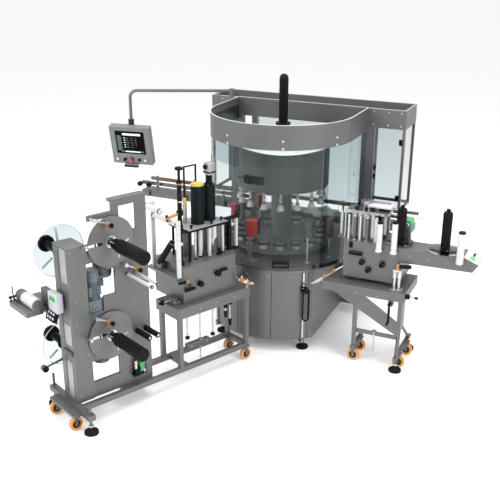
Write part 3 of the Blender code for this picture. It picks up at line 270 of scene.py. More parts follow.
lilacPlastic = makeFinish("lilacPlastic", {"colour": (0.42, 0.41, 0.45), "second": (0.5, 0.49, 0.53),
    "rough": 0.42, "scale": 110.0, "bump": 0.15, "wear": 0.3})
coverSteel = makeFinish("coverSteel", {**steelLook, "colour": (0.31, 0.31, 0.312),
    "second": (0.37, 0.37, 0.372)})

smokedGlass = makeTintedSheet("smokedGlass", {"colour": (0.055, 0.066, 0.063),
    "second": (0.06, 0.072, 0.069), "rough": 0.16, "spread": 0.04, "scale": 2.5, "bump": 0.02, "wear": 0.5,
    "worn": (0.05, 0.06, 0.058), "dust": 0.0, "dense": 0.22, "gloss": 0.3})
paleGlass = makeGlass("paleGlass", {"clear": 1.0, "bend": 1.12, "colour": (0.61, 0.68, 0.685), "scale": 2.5,
    "second": (0.64, 0.705, 0.71), "wear": 0.8, "edge": (0.35, 0.45, 0.44), "smear": 0.04})
doorGlass = makeGlass("doorGlass", {"clear": 1.0, "bend": 1.12, "colour": (0.5, 0.565, 0.58), "scale": 2.5,
    "second": (0.53, 0.595, 0.61), "wear": 0.8, "edge": (0.3, 0.38, 0.38), "smear": 0.04})
discGlass = makeGlass("discGlass", {"clear": 1.0, "bend": 1.3, "colour": (0.55, 0.62, 0.635), "scale": 4.0,
    "second": (0.61, 0.68, 0.69), "wear": 0.8, "edge": (0.5, 0.58, 0.6), "smear": 0.05})
print("finishes ready")


# A piece in the making: its mesh, and the frame that its measures are given in.
# finish is the place in the piece's list of finishes.
class Piece:
    def __init__(self, place=cellFrame):
        self.mesh = bmesh.new()
        self.place = place

    def shape(self, verts, faces, finish=0, place=None):
        place = self.place if place is None else place
        made = [self.mesh.verts.new(place @ Vector(v)) for v in verts]
        for face in faces:
            try:
                self.mesh.faces.new([made[i] for i in face]).material_index = finish
            except ValueError:
                continue

    def block(self, low, high, finish=0, edge=0.0, place=None):
        # A block with chamfered edges. With no edge given, it is a share of the thinnest side.
        size = [b - a for a, b in zip(low, high)]
        middle = [(a + b) / 2 for a, b in zip(low, high)]
        scratch = bmesh.new()
        bmesh.ops.create_cube(scratch, size=1.0, matrix=Matrix.Translation(middle) @ Matrix.Diagonal((*size,
            1.0)))
        bmesh.ops.bevel(scratch, geom=list(scratch.edges), offset=edge or min(size) * 0.06, segments=2,
            profile=0.5, affect='EDGES')
        scratch.verts.index_update()
        self.shape([v.co for v in scratch.verts], [[v.index for v in face.verts] for face in scratch.faces],
            finish, place)
        scratch.free()

    def turned(self, start, end, profile, finish=0, steps=24, hollow=False, place=None):
        # A turned shape about the line from start to end; profile is (distance along, radius).
        # A hollow one is a ring: its last circle joins its first instead of two end faces.
        start, end = Vector(start), Vector(end)
        axis = (end - start).normalized()
        side = axis.orthogonal().normalized()
        other = axis.cross(side)
        rings = []
        verts = []
        for along, radius in profile:
            centre = start + axis * along
            if radius <= 0.0:
                rings.append([len(verts)])
                verts.append(centre)
                continue
            rings.append(list(range(len(verts), len(verts) + steps)))
            for i in range(steps):
                turn = 2 * math.pi * i / steps
                verts.append(centre + side * (radius * math.cos(turn)) + other * (radius * math.sin(turn)))
        faces = []
        for a, b in zip(rings, rings[1:] + rings[:1] if hollow else rings[1:]):
            for i in range(steps):
                j = (i + 1) % steps
                if len(a) == 1 and len(b) == 1:
                    break
                if len(a) == 1:
                    faces.append((a[0], b[j], b[i]))
                elif len(b) == 1:
                    faces.append((a[i], a[j], b[0]))
                else:
                    faces.append((a[i], a[j], b[j], b[i]))
        for ring, flip in ((rings[0], True), (rings[-1], False)):
            if len(ring) > 1 and not hollow:
                faces.append(tuple(reversed(ring)) if flip else tuple(ring))
        self.shape(verts, faces, finish, place)

    def rod(self, start, end, radius, finish=0, steps=20, place=None):
        # A rod with broken end corners.
        length = (Vector(end) - Vector(start)).length
        cut = min(radius * 0.15, length * 0.2)
        profile = [(0, radius - cut), (cut, radius), (length - cut, radius), (length, radius - cut)]
        self.turned(start, end, profile, finish, steps, place=place)

    def pipe(self, points, radius, finish=0, steps=12, place=None):
        # A bent bar through the points, with mitred joints.
        points = [Vector(p) for p in points]
        verts = []
        side = None
        for k, spot in enumerate(points):
            back = (spot - points[k - 1]).normalized() if k else (points[1] - spot).normalized()
            ahead = (points[k + 1] - spot).normalized() if k + 1 < len(points) else back
            along = (back + ahead).normalized()
            if side is None:
                side = along.orthogonal().normalized()
            else:
                side = (side - along * side.dot(along)).normalized()
            other = along.cross(side)
            grow = 1.0 / max(0.5, along.dot(ahead))
            for i in range(steps):
                turn = 2 * math.pi * i / steps
                verts.append(spot + (side * math.cos(turn) + other * math.sin(turn)) * radius * grow)
        faces = [tuple(reversed(range(steps)))]
        for k in range(len(points) - 1):
            for i in range(steps):
                j = (i + 1) % steps
                faces.append((k * steps + i, k * steps + j, (k + 1) * steps + j, (k + 1) * steps + i))
        faces.append(tuple(range((len(points) - 1) * steps, len(points) * steps)))
        self.shape(verts, faces, finish, place)

    def outline(self, points, low, high, finish=0, place=None):
        # An upright extrusion of a plan outline.
        count = len(points)
        verts = [(x, y, low) for x, y in points] + [(x, y, high) for x, y in points]
        faces = [tuple(reversed(range(count))), tuple(range(count, 2 * count))]
        for i in range(count):
            j = (i + 1) % count
            faces.append((i, j, count + j, count + i))
        self.shape(verts, faces, finish, place)

    def screw(self, spot, outward, finish=0, size=None, place=None):
        # A cap screw with a countersunk socket, seated a little way into what it holds.
        size = size or screws["radius"]
        head = size * 0.7
        spot = Vector(spot)
        outward = Vector(outward).normalized()
        self.turned(spot - outward * 0.002, spot + outward * head,
            [(0, size), (head + 0.0006, size), (head + 0.002, size * 0.8), (head + 0.002, size * 0.5),
            (head - 0.001, size * 0.42), (head - 0.001, 0)], finish, 12, place=place)

    def arcStrip(self, inner, outer, low, high, first, last, count, finish=0):
        spots = [first + (last - first) * i / count for i in range(count + 1)]
        plan = [tuple(roundSpot(outer, a, 0)[:2]) for a in spots]
        plan += [tuple(roundSpot(inner, a, 0)[:2]) for a in reversed(spots)]
        self.outline(plan, low, high, finish)

    def done(self, name, finishes, body):
        bmesh.ops.recalc_face_normals(self.mesh, faces=self.mesh.faces)
        mesh = bpy.data.meshes.new(name)
        self.mesh.to_mesh(mesh)
        self.mesh.free()
        mesh.shade_smooth()
        mesh.set_sharp_from_angle(angle=math.radians(38))
        for paint in finishes:
            mesh.materials.append(paint)
        piece = bpy.data.objects.new(name, mesh)
        bpy.context.scene.collection.objects.link(piece)
        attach(piece, body)


def roundSpot(radius, angle, z):
    turn = math.radians(angle)
    return Vector((radius * math.cos(turn), radius * math.sin(turn), z))


def dress(nodeNames, finish):
    for name in nodeNames:
        mesh = cadNodes[name].data
        mesh.materials.clear()
        mesh.materials.append(finish)


# Finishes on the CAD nodes that keep their own shape
dress(["base_frame", "base_skirt", "canopy_band", "gantry_frame", "conveyor", "left_base", "tower",
    "applicator_body", "right_base", "right_body", "web_frame"], satinSteel)
dress(["reel_plate"], plateSteel)
dress(["panel_arm"], armSteel)
dress(["infeed_star", "outfeed_star"], coverSteel)
dress(["right_head"], makeFinish("headSteel", {**brightLook, "colour": (0.07, 0.07, 0.075),
    "second": (0.62, 0.62, 0.63), "scale": 34.0, "stretch": (1.0, 1.0, 0.05)}))
dress(["panel_box"], panelPaint)
dress(["lift_column", "loop_handle", "right_crank", "start_button", "right_mandrel", "right_reel"],
    blackCoat)
dress(["nip_roller_3", "nip_roller_4", "applicator_head"], rubber)
dress(["stop_button"], redPaint)
dress([name for name in cadNodes if "castor" in name], orangePaint)
dress(["nip_roller_1", "nip_roller_2", "web_roller_top", "web_roller_large", "web_roller_1", "peel_roller",
    "arm_roller_1", "arm_roller_2", "arm_roller_3"], whiteSleeve)
dress(["dancer_upper", "dancer_lower"], brightSteel)
dress(["turntable", "deck_plate"], satinSteel)
# The bell head's side band is painted lighter (0.09) than the drum's top tone, to make up for the top lamp
# lighting the top more: painted light.
dress(["bell_head"], makeFinish("drumSteelPaintedSideLight", drumLook,
    [((cellFrame, (-0.48, -0.48, 1.555), (0.48, 0.48, 1.808)), (0.09, 0.096, 0.094))]))
dress(["wipe_pads"], makeFinish("padRed", redLook,
    [((cellFrame, (-0.9, -0.9, 0.85), (0.9, 0.0, 1.165)), (0.2, 0.2, 0.2))]))
dress(["front_guard", "end_glazing"], smokedGlass)
dress(["side_guard_left", "side_guard_right", "rear_glazing"], paleGlass)
dress(["gantry_window"], doorGlass)
dress(["rear_reel_upper", "rear_reel_lower"], discGlass)
dress(["unwind_reel", "rewind_reel"], makeFinish("reelBlack", blackLook,
    [((leftFrame, (0.15, 0.18, 1.29), (0.65, 0.198, 1.8)), (0.17, 0.17, 0.172)),
    ((leftFrame, (0.1, 0.18, 0.47), (0.61, 0.198, 0.97)), (0.17, 0.17, 0.172))]))
print("frame dressed")

# Round cell: painted top-edge highlights, screws, handle, platforms and bell caps
edgeHighlight = {"inner": 0.7105, "outer": 0.7206, "bandTop": 2.28, "rise": 0.003}


def buildEdgeHighlight():
    # White strips along the top edges of the canopy band and gantry: painted highlight where those edges
    # catch the light.
    work = Piece()
    top = edgeHighlight["bandTop"]
    work.arcStrip(edgeHighlight["inner"], edgeHighlight["outer"], top - 0.0005, top + edgeHighlight["rise"], -180, 0, 60)
    for side in (-1, 1):
        a, b = sorted((side * edgeHighlight["inner"], side * edgeHighlight["outer"]))
        work.block((a, 0.0, top - 0.0005), (b, 0.489, top + edgeHighlight["rise"]), edge=0.0008)
    for low, high in (((-1.03, 0.49), (-0.7205, 0.4945)), ((0.7205, 0.49), (1.11, 0.4945)),
            ((-0.7205, 0.5155), (0.7205, 0.52)), ((-1.03, 0.9155), (1.11, 0.92)),
            ((-1.03, 0.49), (-1.0255, 0.92)), ((1.1055, 0.49), (1.11, 0.92))):
        work.block((*low, top - 0.0005), (*high, top + edgeHighlight["rise"]), edge=0.0008)
    work.done("canopyEdgeHighlight", [whiteSleeve], "machine")


screws = {"radius": 0.0085, "bandAngles": (-114, -68, -24), "bandHeights": (2.066, 2.136),
    "bandSize": 0.0105}


def buildScrews():
    work = Piece()
    for angle in screws["bandAngles"]:
        for z in screws["bandHeights"]:
            work.screw(roundSpot(0.7195, angle, z), roundSpot(1, angle, 0), 1, screws["bandSize"])
    for angle in (-150, -132, -114, -96, -78, -60, -42, -36):
        for z in (0.16, 0.8):
            work.screw(roundSpot(0.6985, angle, z), roundSpot(1, angle, 0), size=0.006)
    for x in (-0.98, -0.9, 0.78, 0.93, 1.06):
        for z in (2.12, 2.25):
            work.screw((x, 0.49, z), (0, -1, 0), size=0.007)
    for y in (0.54, 0.7, 0.87):
        for z in (2.12, 2.25):
            work.screw((1.11, y, z), (1, 0, 0), size=0.007)
            work.screw((-1.03, y, z), (-1, 0, 0), size=0.007)
    for x in (-1.7, -1.3, -0.9, -0.6, 0.7, 1.0):
        work.screw((x, 0.62, 1.015), (0, -1, 0), size=0.006)
    for x in (-0.6, -0.2, 0.2, 0.6):
        for z in (0.16, 0.8):
            work.screw((x, 0.9, z), (0, 1, 0), size=0.006)
    work.done("capScrews", [brightSteel, whiteSleeve], "machine")


skirtSeams = {"angles": (-135, -105, -75, -45), "low": 0.125, "high": 0.845, "fold": 0.26, "gap": 0.22}


def buildSeams():
    # Raised fold either side of each joint between two skirt panels.
    work = Piece()
    for angle in skirtSeams["angles"]:
        for shift, finish in ((-0.55, 0), (0.0, 1), (0.55, 0)):
            width = skirtSeams["fold"] if finish == 0 else skirtSeams["gap"]
            lift = 0.0012 if finish == 0 else 0.0007
            work.arcStrip(0.697, 0.7 + lift, skirtSeams["low"], skirtSeams["high"], angle + shift - width,
                angle + shift + width, 2, finish)
    work.done("skirtSeams", [satinSteel, blackCoat], "machine")


guardGrip = {"angle": -68, "half": 0.082, "low": 0.912, "high": 0.968}


paleEdge = makeFinish("paleEdge", {"colour": (0.52, 0.6, 0.6), "second": (0.6, 0.68, 0.68), "rough": 0.3,
    "scale": 12.0, "bump": 0.05, "wear": 0.1})
sensorPlates = ((-99.0, -82.0, 1.708, 1.79, 0), (-107.0, -99.2, 1.728, 1.752, 3),
    (-106.5, -99.5, 1.757, 1.763, 0))
crescent = {"first": -102.5, "last": -33.0, "steps": 36, "top": 2.056, "deep": 0.046, "inner": 0.7093,
    "outer": 0.7101}


def addCrescent(work):
    # Pale bowed edge that shows below the band, thickest at the middle.
    rows = []
    for i in range(crescent["steps"] + 1):
        part = i / crescent["steps"]
        angle = crescent["first"] + (crescent["last"] - crescent["first"]) * part
        low = crescent["top"] - 0.006 - crescent["deep"] * math.sin(math.pi * part)
        rows.append([roundSpot(crescent[edge], angle, z) for edge in ("inner", "outer") for z in (low,
            crescent["top"])])
    verts = [spot for row in rows for spot in row]
    faces = [(0, 1, 3, 2)]
    for i in range(crescent["steps"]):
        a, b = i * 4, i * 4 + 4
        faces += [(a, b, b + 1, a + 1), (a + 2, a + 3, b + 3, b + 2), (a + 1, b + 1, b + 3, a + 3),
            (a, a + 2, b + 2, b)]
    last = crescent["steps"] * 4
    faces.append((last, last + 2, last + 3, last + 1))
    work.shape(verts, faces, 1)


def buildGuardGrip():
    work = Piece()
    place = cellFrame @ Matrix.Rotation(math.radians(guardGrip["angle"]), 4, 'Z')
    half, low, high = guardGrip["half"], guardGrip["low"], guardGrip["high"]
    work.block((0.703, -half, high - 0.013), (0.7575, half, high), 0, 0.004, place=place)
    work.block((0.746, -half, low + 0.001), (0.7585, half, low + 0.014), 0, 0.003, place=place)
    work.block((0.746, -half, high - 0.016), (0.7585, half, high - 0.001), 0, 0.003, place=place)
    work.block((0.7, -half - 0.006, low - 0.006), (0.7105, half + 0.006, low + 0.002), 0, 0.002,
        place=place)
    for y in (-half, half - 0.013):
        work.block((0.703, y, low + 0.001), (0.756, y + 0.013, high - 0.002), 0, 0.003, place=place)
    for angle, size in ((-41.8, 0.016), (-34.0, 0.021)):
        spot = roundSpot(0.707, angle, 0.896)
        out = roundSpot(1, angle, 0)
        work.turned(spot, spot + out, [(0, 0.01), (0.012, 0.01), (0.013, size), (0.028, size * 0.96),
            (0.032, size * 0.7), (0.032, 0)], 0, 20)
    for first, last, z0, z1, finish in sensorPlates:
        work.arcStrip(0.6935, 0.7026, z0, z1, first, last, 6, finish)
    addCrescent(work)
    work.done("guardGrip", [blackCoat, paleEdge, darkSteel, plateSteel], "front_guard")


platforms = {"count": 16, "pitch": 0.424, "radius": 0.0665, "top": 1.05, "first": -92}


def buildPlatforms():
    # Rubber-edged bottle plates with a steel face and a centre pin.
    work = Piece()
    for i in range(platforms["count"]):
        spot = roundSpot(platforms["pitch"], platforms["first"] + 360 / platforms["count"] * i,
            platforms["top"] - 0.019)
        up = spot + Vector((0, 0, 1))
        r = platforms["radius"]
        work.turned(spot, up, [(0, r - 0.004), (0.002, r), (0.018, r), (0.021, r - 0.002),
            (0.021, r - 0.009), (0.0192, r - 0.01), (0.0192, r - 0.03)], 0, 32)
        work.turned(spot, up, [(0.01, r - 0.012), (0.0205, r - 0.012), (0.0212, r - 0.014), (0.0212, 0.012),
            (0.02, 0.01), (0.02, 0)], 1, 32)
        work.turned(spot, up, [(0.018, 0.008), (0.0235, 0.008), (0.0245, 0.006), (0.0245, 0)], 0, 16)
        work.turned(spot - Vector((0, 0, 0.057)), up,
            [(0, 0.036), (0.004, 0.038), (0.016, 0.038), (0.02, 0.033), (0.056, 0.031)], 2, 24)
    work.done("bottlePlates", [rubber, plateSteel, whiteSleeve], "turntable")


bellCaps = {"count": 16, "pitch": 0.424, "tip": 1.385, "first": -92}


def buildBellCaps():
    work = Piece()
    for i in range(bellCaps["count"]):
        spot = roundSpot(bellCaps["pitch"], bellCaps["first"] + 360 / bellCaps["count"] * i,
            bellCaps["tip"] - 0.001)
        up = spot + Vector((0, 0, 1))
        work.turned(spot, up, [(0.012, 0), (0.012, 0.024), (0, 0.03), (0, 0.035), (0.01, 0.0365),
            (0.016, 0.034), (0.04, 0.026), (0.07, 0.0165), (0.085, 0.014), (0.112, 0.0135), (0.112, 0.011)],
            0, 24)
        work.turned(spot + Vector((0, 0, 0.111)), up,
            [(0, 0.0165), (0.002, 0.018), (0.014, 0.018), (0.016, 0.0165), (0.016, 0.0125),
            (0.064, 0.0125)], 1, 20)
    work.done("bellCaps", [whiteSleeve, brightSteel], "bell_head")


pads = [{"name": "frontPad", "angle": -93.6, "z": 1.245, "high": 0.156, "paint": 0},
    {"name": "farLeftPad", "angle": 134.4, "z": 1.18, "high": 0.15, "paint": 0},
    {"name": "leftPad", "angle": 167.8, "z": 1.14, "high": 0.13, "paint": 0},
    {"name": "darkPad", "angle": -42.8, "z": 1.235, "high": 0.15, "paint": 1},
    {"name": "brownPad", "angle": -15.4, "z": 1.2, "high": 0.19, "paint": 2}]
padReach = 0.6


def buildPads():
    # Wipe-down blocks on posts round the carousel, each with a bristle face and two clamp screws.
    work = Piece()
    for pad in pads:
        place = cellFrame @ Matrix.Rotation(math.radians(pad["angle"]), 4, 'Z')
        low, high = pad["z"] - pad["high"] / 2, pad["z"] + pad["high"] / 2
        r = padReach
        if pad["name"] != "frontPad":
            work.block((r - 0.028, -0.036, low), (r + 0.028, 0.036, high), pad["paint"], 0.003, place=place)
            work.turned((r, 0, 0.8895), (r, 0, low + 0.01),
                [(0, 0.028), (0.006, 0.028), (0.008, 0.026), (0.01, 0.011), (low + 0.004 - 0.8895, 0.011)],
                3, 16, place=place)
        work.block((r - 0.05, -0.033, low + 0.008), (r - 0.026, 0.033, high - 0.008), 4, 0.004, place=place)
        for z in (low + 0.025, high - 0.025):
            for y in (-0.018, 0.018):
                work.screw((r + 0.028 if pad["name"] != "frontPad" else 0.645, y, z), (1, 0, 0), 3, 0.006,
                    place=place)
    work.done("wipeBlocks", [redPaint, darkSteel, brownStrip, brightSteel, rubber], "machine")


buildEdgeHighlight()
buildScrews()
buildSeams()
buildGuardGrip()
buildPlatforms()
buildBellCaps()
buildPads()
print("round cell dressed")

# Operator panel: glass, picture of plain bars, keys
screen = {"front": -0.0425, "half": 0.162, "low": -0.087, "high": 0.167, "keyRow": -0.165}


def buildPanelFace():
    work = Piece(panelFrame)
    front = screen["front"]
    work.block((-screen["half"], front - 0.0005, screen["low"]),
        (screen["half"], front + 0.0035, screen["high"]), 0, 0.0012)
    face = front - 0.0011
    bars = [(-0.082, 0.128, 0.124, 0.148, 1), (-0.07, 0.108, -0.076, -0.062, 1),
        (-0.118, -0.078, -0.074, -0.06, 2), (0.116, 0.146, -0.076, -0.058, 2), (0.062, 0.07, 0.0, 0.096, 4)]
    for row in range(7):
        z = 0.112 - row * 0.026
        bars.append((-0.152, -0.104 + 0.006 * (row % 2), z - 0.014, z + 0.006, 2))
    for row in range(5):
        z = 0.092 - row * 0.027
        bars.append((-0.072, -0.058, z - 0.006, z + 0.005, 1))
        bars.append((-0.046, -0.02 + 0.006 * (row % 3), z - 0.005, z + 0.003, 2))
        bars.append((0.004, 0.04, z - 0.005, z + 0.003, 4))
    for x0, x1, z0, z1, paint in bars:
        work.block((x0, face, z0), (x1, front + 0.001, z1), paint, 0.0003)
    rim = 0.006
    for x0, x1, z0, z1 in ((-screen["half"] - rim, screen["half"] + rim, screen["high"],
            screen["high"] + rim), (-screen["half"] - rim, screen["half"] + rim, screen["low"] - rim,
            screen["low"]), (-screen["half"] - rim, -screen["half"], screen["low"] - rim,
            screen["high"] + rim), (screen["half"], screen["half"] + rim, screen["low"] - rim,
            screen["high"] + rim)):
        work.block((x0, front - 0.003, z0), (x1, front + 0.002, z1), 3, 0.001)
    work.done("panelScreen", [screenGlass, paleInk, dimInk, blackCoat, warmInk], "panel_box")


screenGlass = makeScreen("screenGlass", {"colour": (0.003, 0.003, 0.004), "second": (0.005, 0.005, 0.006),
    "rough": 0.45, "scale": 4.0, "bump": 0.01, "wear": 0.0, "dust": 0.0, "gloss": 0.02, "spread": 0.06,
    "glow": (0.002, 0.003, 0.003), "power": 0.3})
paleInk = makeScreen("paleInk", {"colour": (0.6, 0.61, 0.62), "second": (0.7, 0.71, 0.72), "rough": 0.3,
    "scale": 30.0, "wear": 0.0, "glow": (0.8, 0.82, 0.84), "power": 0.4})
dimInk = makeScreen("dimInk", {"colour": (0.045, 0.085, 0.085), "second": (0.07, 0.12, 0.12), "rough": 0.3,
    "scale": 30.0, "wear": 0.0, "glow": (0.05, 0.11, 0.11), "power": 0.3})
warmInk = makeScreen("warmInk", {"colour": (0.07, 0.025, 0.03), "second": (0.1, 0.04, 0.045), "rough": 0.3,
    "scale": 30.0, "wear": 0.0, "glow": (0.06, 0.02, 0.025), "power": 0.3})
keys = [{"x": -0.175, "paint": 0}, {"x": 0.078, "paint": 1}, {"x": 0.152, "paint": 0}]


def buildKeys():
    # Round keys beside the two that press, collars for all five, and the panel's front seam.
    work = Piece(panelFrame)
    front = screen["front"]
    for key in keys:
        work.turned((key["x"], front + 0.004, screen["keyRow"]), (key["x"], front - 0.03, screen["keyRow"]),
            [(0, 0.017), (0.008, 0.017), (0.009, 0.0125), (0.018, 0.0125), (0.02, 0.01), (0.0205, 0)],
            key["paint"], 24)
    for x, size in ((-0.175, 0.019), (-0.087, 0.0185), (-0.012, 0.027), (0.078, 0.019), (0.152, 0.019)):
        work.turned((x, front + 0.003, screen["keyRow"]), (x, front - 0.03, screen["keyRow"]),
            [(0, size - 0.0035), (0, size), (0.0045, size), (0.006, size - 0.002), (0.006, size - 0.0035)],
            1, 28, hollow=True)
    for z0, z1, x0, x1 in ((0.205, 0.209, -0.226, 0.226), (-0.209, -0.205, -0.226, 0.226),
            (-0.209, 0.209, -0.226, -0.222), (-0.209, 0.209, 0.222, 0.226)):
        work.block((x0, front - 0.0012, z0), (x1, front + 0.002, z1), 3, 0.0005)
    work.block((-0.1, front - 0.034, -0.246), (0.07, front - 0.022, -0.222), 1, 0.005)
    for x in (-0.2, 0.2):
        for z in (-0.19, 0.19):
            work.screw((x, 0.0425, z), (0, 1, 0), 2, 0.007)
    work.done("panelKeys", [whiteSleeve, blackCoat, brightSteel, plateSteel], "panel_box")


stopCap = {"x": -0.012, "radius": 0.0235}


def buildStopCap():
    work = Piece(panelFrame)
    r = stopCap["radius"]
    work.turned((stopCap["x"], -0.049, screen["keyRow"]), (stopCap["x"], -0.09, screen["keyRow"]),
        [(0, 0.014), (0.006, 0.014), (0.01, r - 0.001), (0.014, r), (0.02, r - 0.002), (0.0245, r * 0.6),
        (0.0258, 0)], 0, 32)
    work.done("stopMushroom", [redPaint], "stop_button")


buildPanelFace()
buildKeys()
buildStopCap()
print("operator panel dressed")

headHood = {"radius": 0.4695, "low": 1.8105, "high": 1.948, "bore": 0.078}


def buildHeadHood():
    # Drum cover standing on the bell head: side wall, rolled top edge, seam band and a bored lid.
    work = Piece()
    r, tall = headHood["radius"], headHood["high"] - headHood["low"]
    work.turned((0, 0, headHood["low"]), (0, 0, 9),
        [(0, r), (tall - 0.006, r), (tall - 0.001, r - 0.004), (tall, r - 0.012),
        (tall, headHood["bore"] + 0.004), (tall - 0.003, headHood["bore"]),
        (tall - 0.006, headHood["bore"] + 0.004), (tall - 0.008, r - 0.018), (0, r - 0.01)], 0, 96,
        hollow=True)
    work.turned((0, 0, headHood["low"] - 0.0005), (0, 0, 9),
        [(0, r), (0.001, r + 0.0008), (0.009, r + 0.0008), (0.01, r)], 0, 96, hollow=True)
    for i in range(12):
        spot = roundSpot(r - 0.03, 15 + 30 * i, headHood["high"])
        work.screw(spot, (0, 0, 1), 1, 0.006)
    work.done("headHood", [darkSteel, brightSteel], "bell_head")


buildHeadHood()
columnSleeve = {"radius": 0.105, "low": 0.9805, "high": 1.5595}


def buildColumnSleeve():
    # Wide sleeve round the lift column between turntable and bell head, with its clamp rings.
    work = Piece()
    r, low, high = columnSleeve["radius"], columnSleeve["low"], columnSleeve["high"]
    tall = high - low
    work.turned((0, 0, low), (0, 0, 9), [(0, 0.046), (0, r + 0.03), (0.01, r + 0.032), (0.014, r + 0.004),
        (0.03, r), (tall - 0.03, r), (tall - 0.014, r + 0.004), (tall - 0.01, r + 0.024), (tall, r + 0.022),
        (tall, 0.046)], 0, 48, hollow=True)
    for i in range(8):
        work.screw(roundSpot(r + 0.018, 45 * i, low + 0.012), (0, 0, 1), 1, 0.006)
    work.done("columnSleeve", [sleeveSteelPaintedLight, brightSteel], "machine")


# Lighter copy of the drum finish: painted light, so the column sleeve in the shade under the bell head
# reads the same tone as the drum side.
sleeveSteelPaintedLight = makeFinish("sleeveSteelPaintedLight", {**drumLook, "colour": (0.105, 0.11, 0.108),
    "second": (0.125, 0.13, 0.128)})
buildColumnSleeve()

legPoles = {"angles": (-49.4, -133.0), "reach": 0.7135, "radius": 0.0115,
    "lengths": ((0.095, 0.6), (0.695, 0.838))}


def buildLegPoles():
    # Bright adjusting tubes outside the skirt, over the two front feet, with their collars.
    work = Piece()
    for angle in legPoles["angles"]:
        for low, high in legPoles["lengths"]:
            work.rod(roundSpot(legPoles["reach"], angle, low), roundSpot(legPoles["reach"], angle, high),
                legPoles["radius"], 0, 20)
            work.rod(roundSpot(legPoles["reach"], angle, low + 0.02),
                roundSpot(legPoles["reach"], angle, low + 0.05), 0.018, 1, 20)
        place = cellFrame @ Matrix.Rotation(math.radians(angle), 4, 'Z')
        for z in (0.135, 0.56, 0.8):
            work.block((0.698, -0.02, z), (0.716, 0.02, z + 0.022), 1, 0.003, place=place)
        work.block((0.64, -0.022, 0.088), (0.728, 0.022, 0.102), 1, 0.003, place=place)
    work.done("legPoles", [brightSteel, satinSteel], "machine")


def buildLoopClamp():
    # Black clamp beside the loop handle's hub, round the right leg tube.
    work = Piece(cellFrame @ Matrix.Rotation(math.radians(legPoles["angles"][0]), 4, 'Z'))
    work.block((0.6995, -0.026, 0.628), (0.733, 0.002, 0.7), 0, 0.006)
    work.screw((0.733, -0.014, 0.645), (1, 0, 0), 1, 0.006)
    work.screw((0.733, -0.014, 0.683), (1, 0, 0), 1, 0.006)
    work.done("loopClamp", [blackCoat, brightSteel], "machine")


buildLegPoles()
buildLoopClamp()

# Left unit: reels, dancers, sensors, gear motors, tower covers and the controller
reels = [{"body": "unwind_reel", "u": 0.4, "z": 1.545, "back": 0.055, "reach": -0.3},
    {"body": "rewind_reel", "u": 0.355, "z": 0.72, "back": 0.075, "reach": -0.29}]
discFace = 0.194
reelLook = {"disc": 0.215, "mandrel": 0.057, "bars": 6, "prongTurn": 25}


def addPoint(u, z, radius, angle, w):
    turn = math.radians(angle)
    return (u + radius * math.cos(turn), w, z + radius * math.sin(turn))


def buildReel(reel):
    work = Piece(leftFrame)
    u, z, back, reach = reel["u"], reel["z"], reel["back"], reel["reach"]
    disc, core = reelLook["disc"], reelLook["mandrel"]
    start = (u, discFace, z)
    end = (u, -1.0, z)
    work.turned(start, end, [(0, disc - 0.01), (0, disc + 0.0012), (0.0095, disc + 0.0012),
        (0.0105, disc - 0.001), (0.0105, disc - 0.01)], 2, 64, hollow=True)
    work.turned(start, end, [(0.008, 0.052), (0.016, 0.052), (0.018, 0.05), (0.018, 0.0305)], 1, 32)
    for i in range(6):
        work.screw(addPoint(u, z, 0.042, 60 * i + 10, 0.1765), (0, -1, 0), 1, 0.0055)
    collar = discFace - 0.128
    work.turned(start, end, [(collar, 0.031), (collar, 0.043), (collar + 0.003, 0.045),
        (collar + 0.034, 0.045), (collar + 0.037, 0.043), (collar + 0.037, 0.031)], 0, 32)
    for i in range(3):
        tip = addPoint(u, z, 0.098, reelLook["prongTurn"] + 120 * i, back + 0.0075)
        foot = addPoint(u, z, 0.026, reelLook["prongTurn"] + 120 * i, back + 0.0075)
        work.rod(foot, tip, 0.0055, 1, 12)
    length = back - reach
    a = discFace - back
    work.turned(start, end, [(a - 0.0008, 0.02), (a - 0.0008, core - 0.004), (a + 0.004, core + 0.0012),
        (a + 0.012, core + 0.0012), (a + 0.013, core + 0.0002), (a + length - 0.016, core + 0.0002),
        (a + length - 0.015, core + 0.0012), (a + length - 0.005, core + 0.0012),
        (a + length + 0.0008, core - 0.005), (a + length + 0.0008, 0.02), (a + length - 0.003, 0.018),
        (a + length - 0.003, 0)], 0, 48)
    for i in range(reelLook["bars"]):
        angle = 360 / reelLook["bars"] * i + 12
        p = addPoint(u, z, core - 0.003, angle, back - 0.02)
        q = addPoint(u, z, core - 0.003, angle, reach + 0.02)
        work.rod(p, q, 0.0065, 0, 10)
    work.done(reel["body"] + "Detail", [blackCoat, brightSteel, plateSteel], reel["body"])


rearReels = [{"body": "rear_reel_upper", "u": 0.115, "z": 1.435, "disc": 0.225},
    {"body": "rear_reel_lower", "u": 0.09, "z": 0.6, "disc": 0.2}]


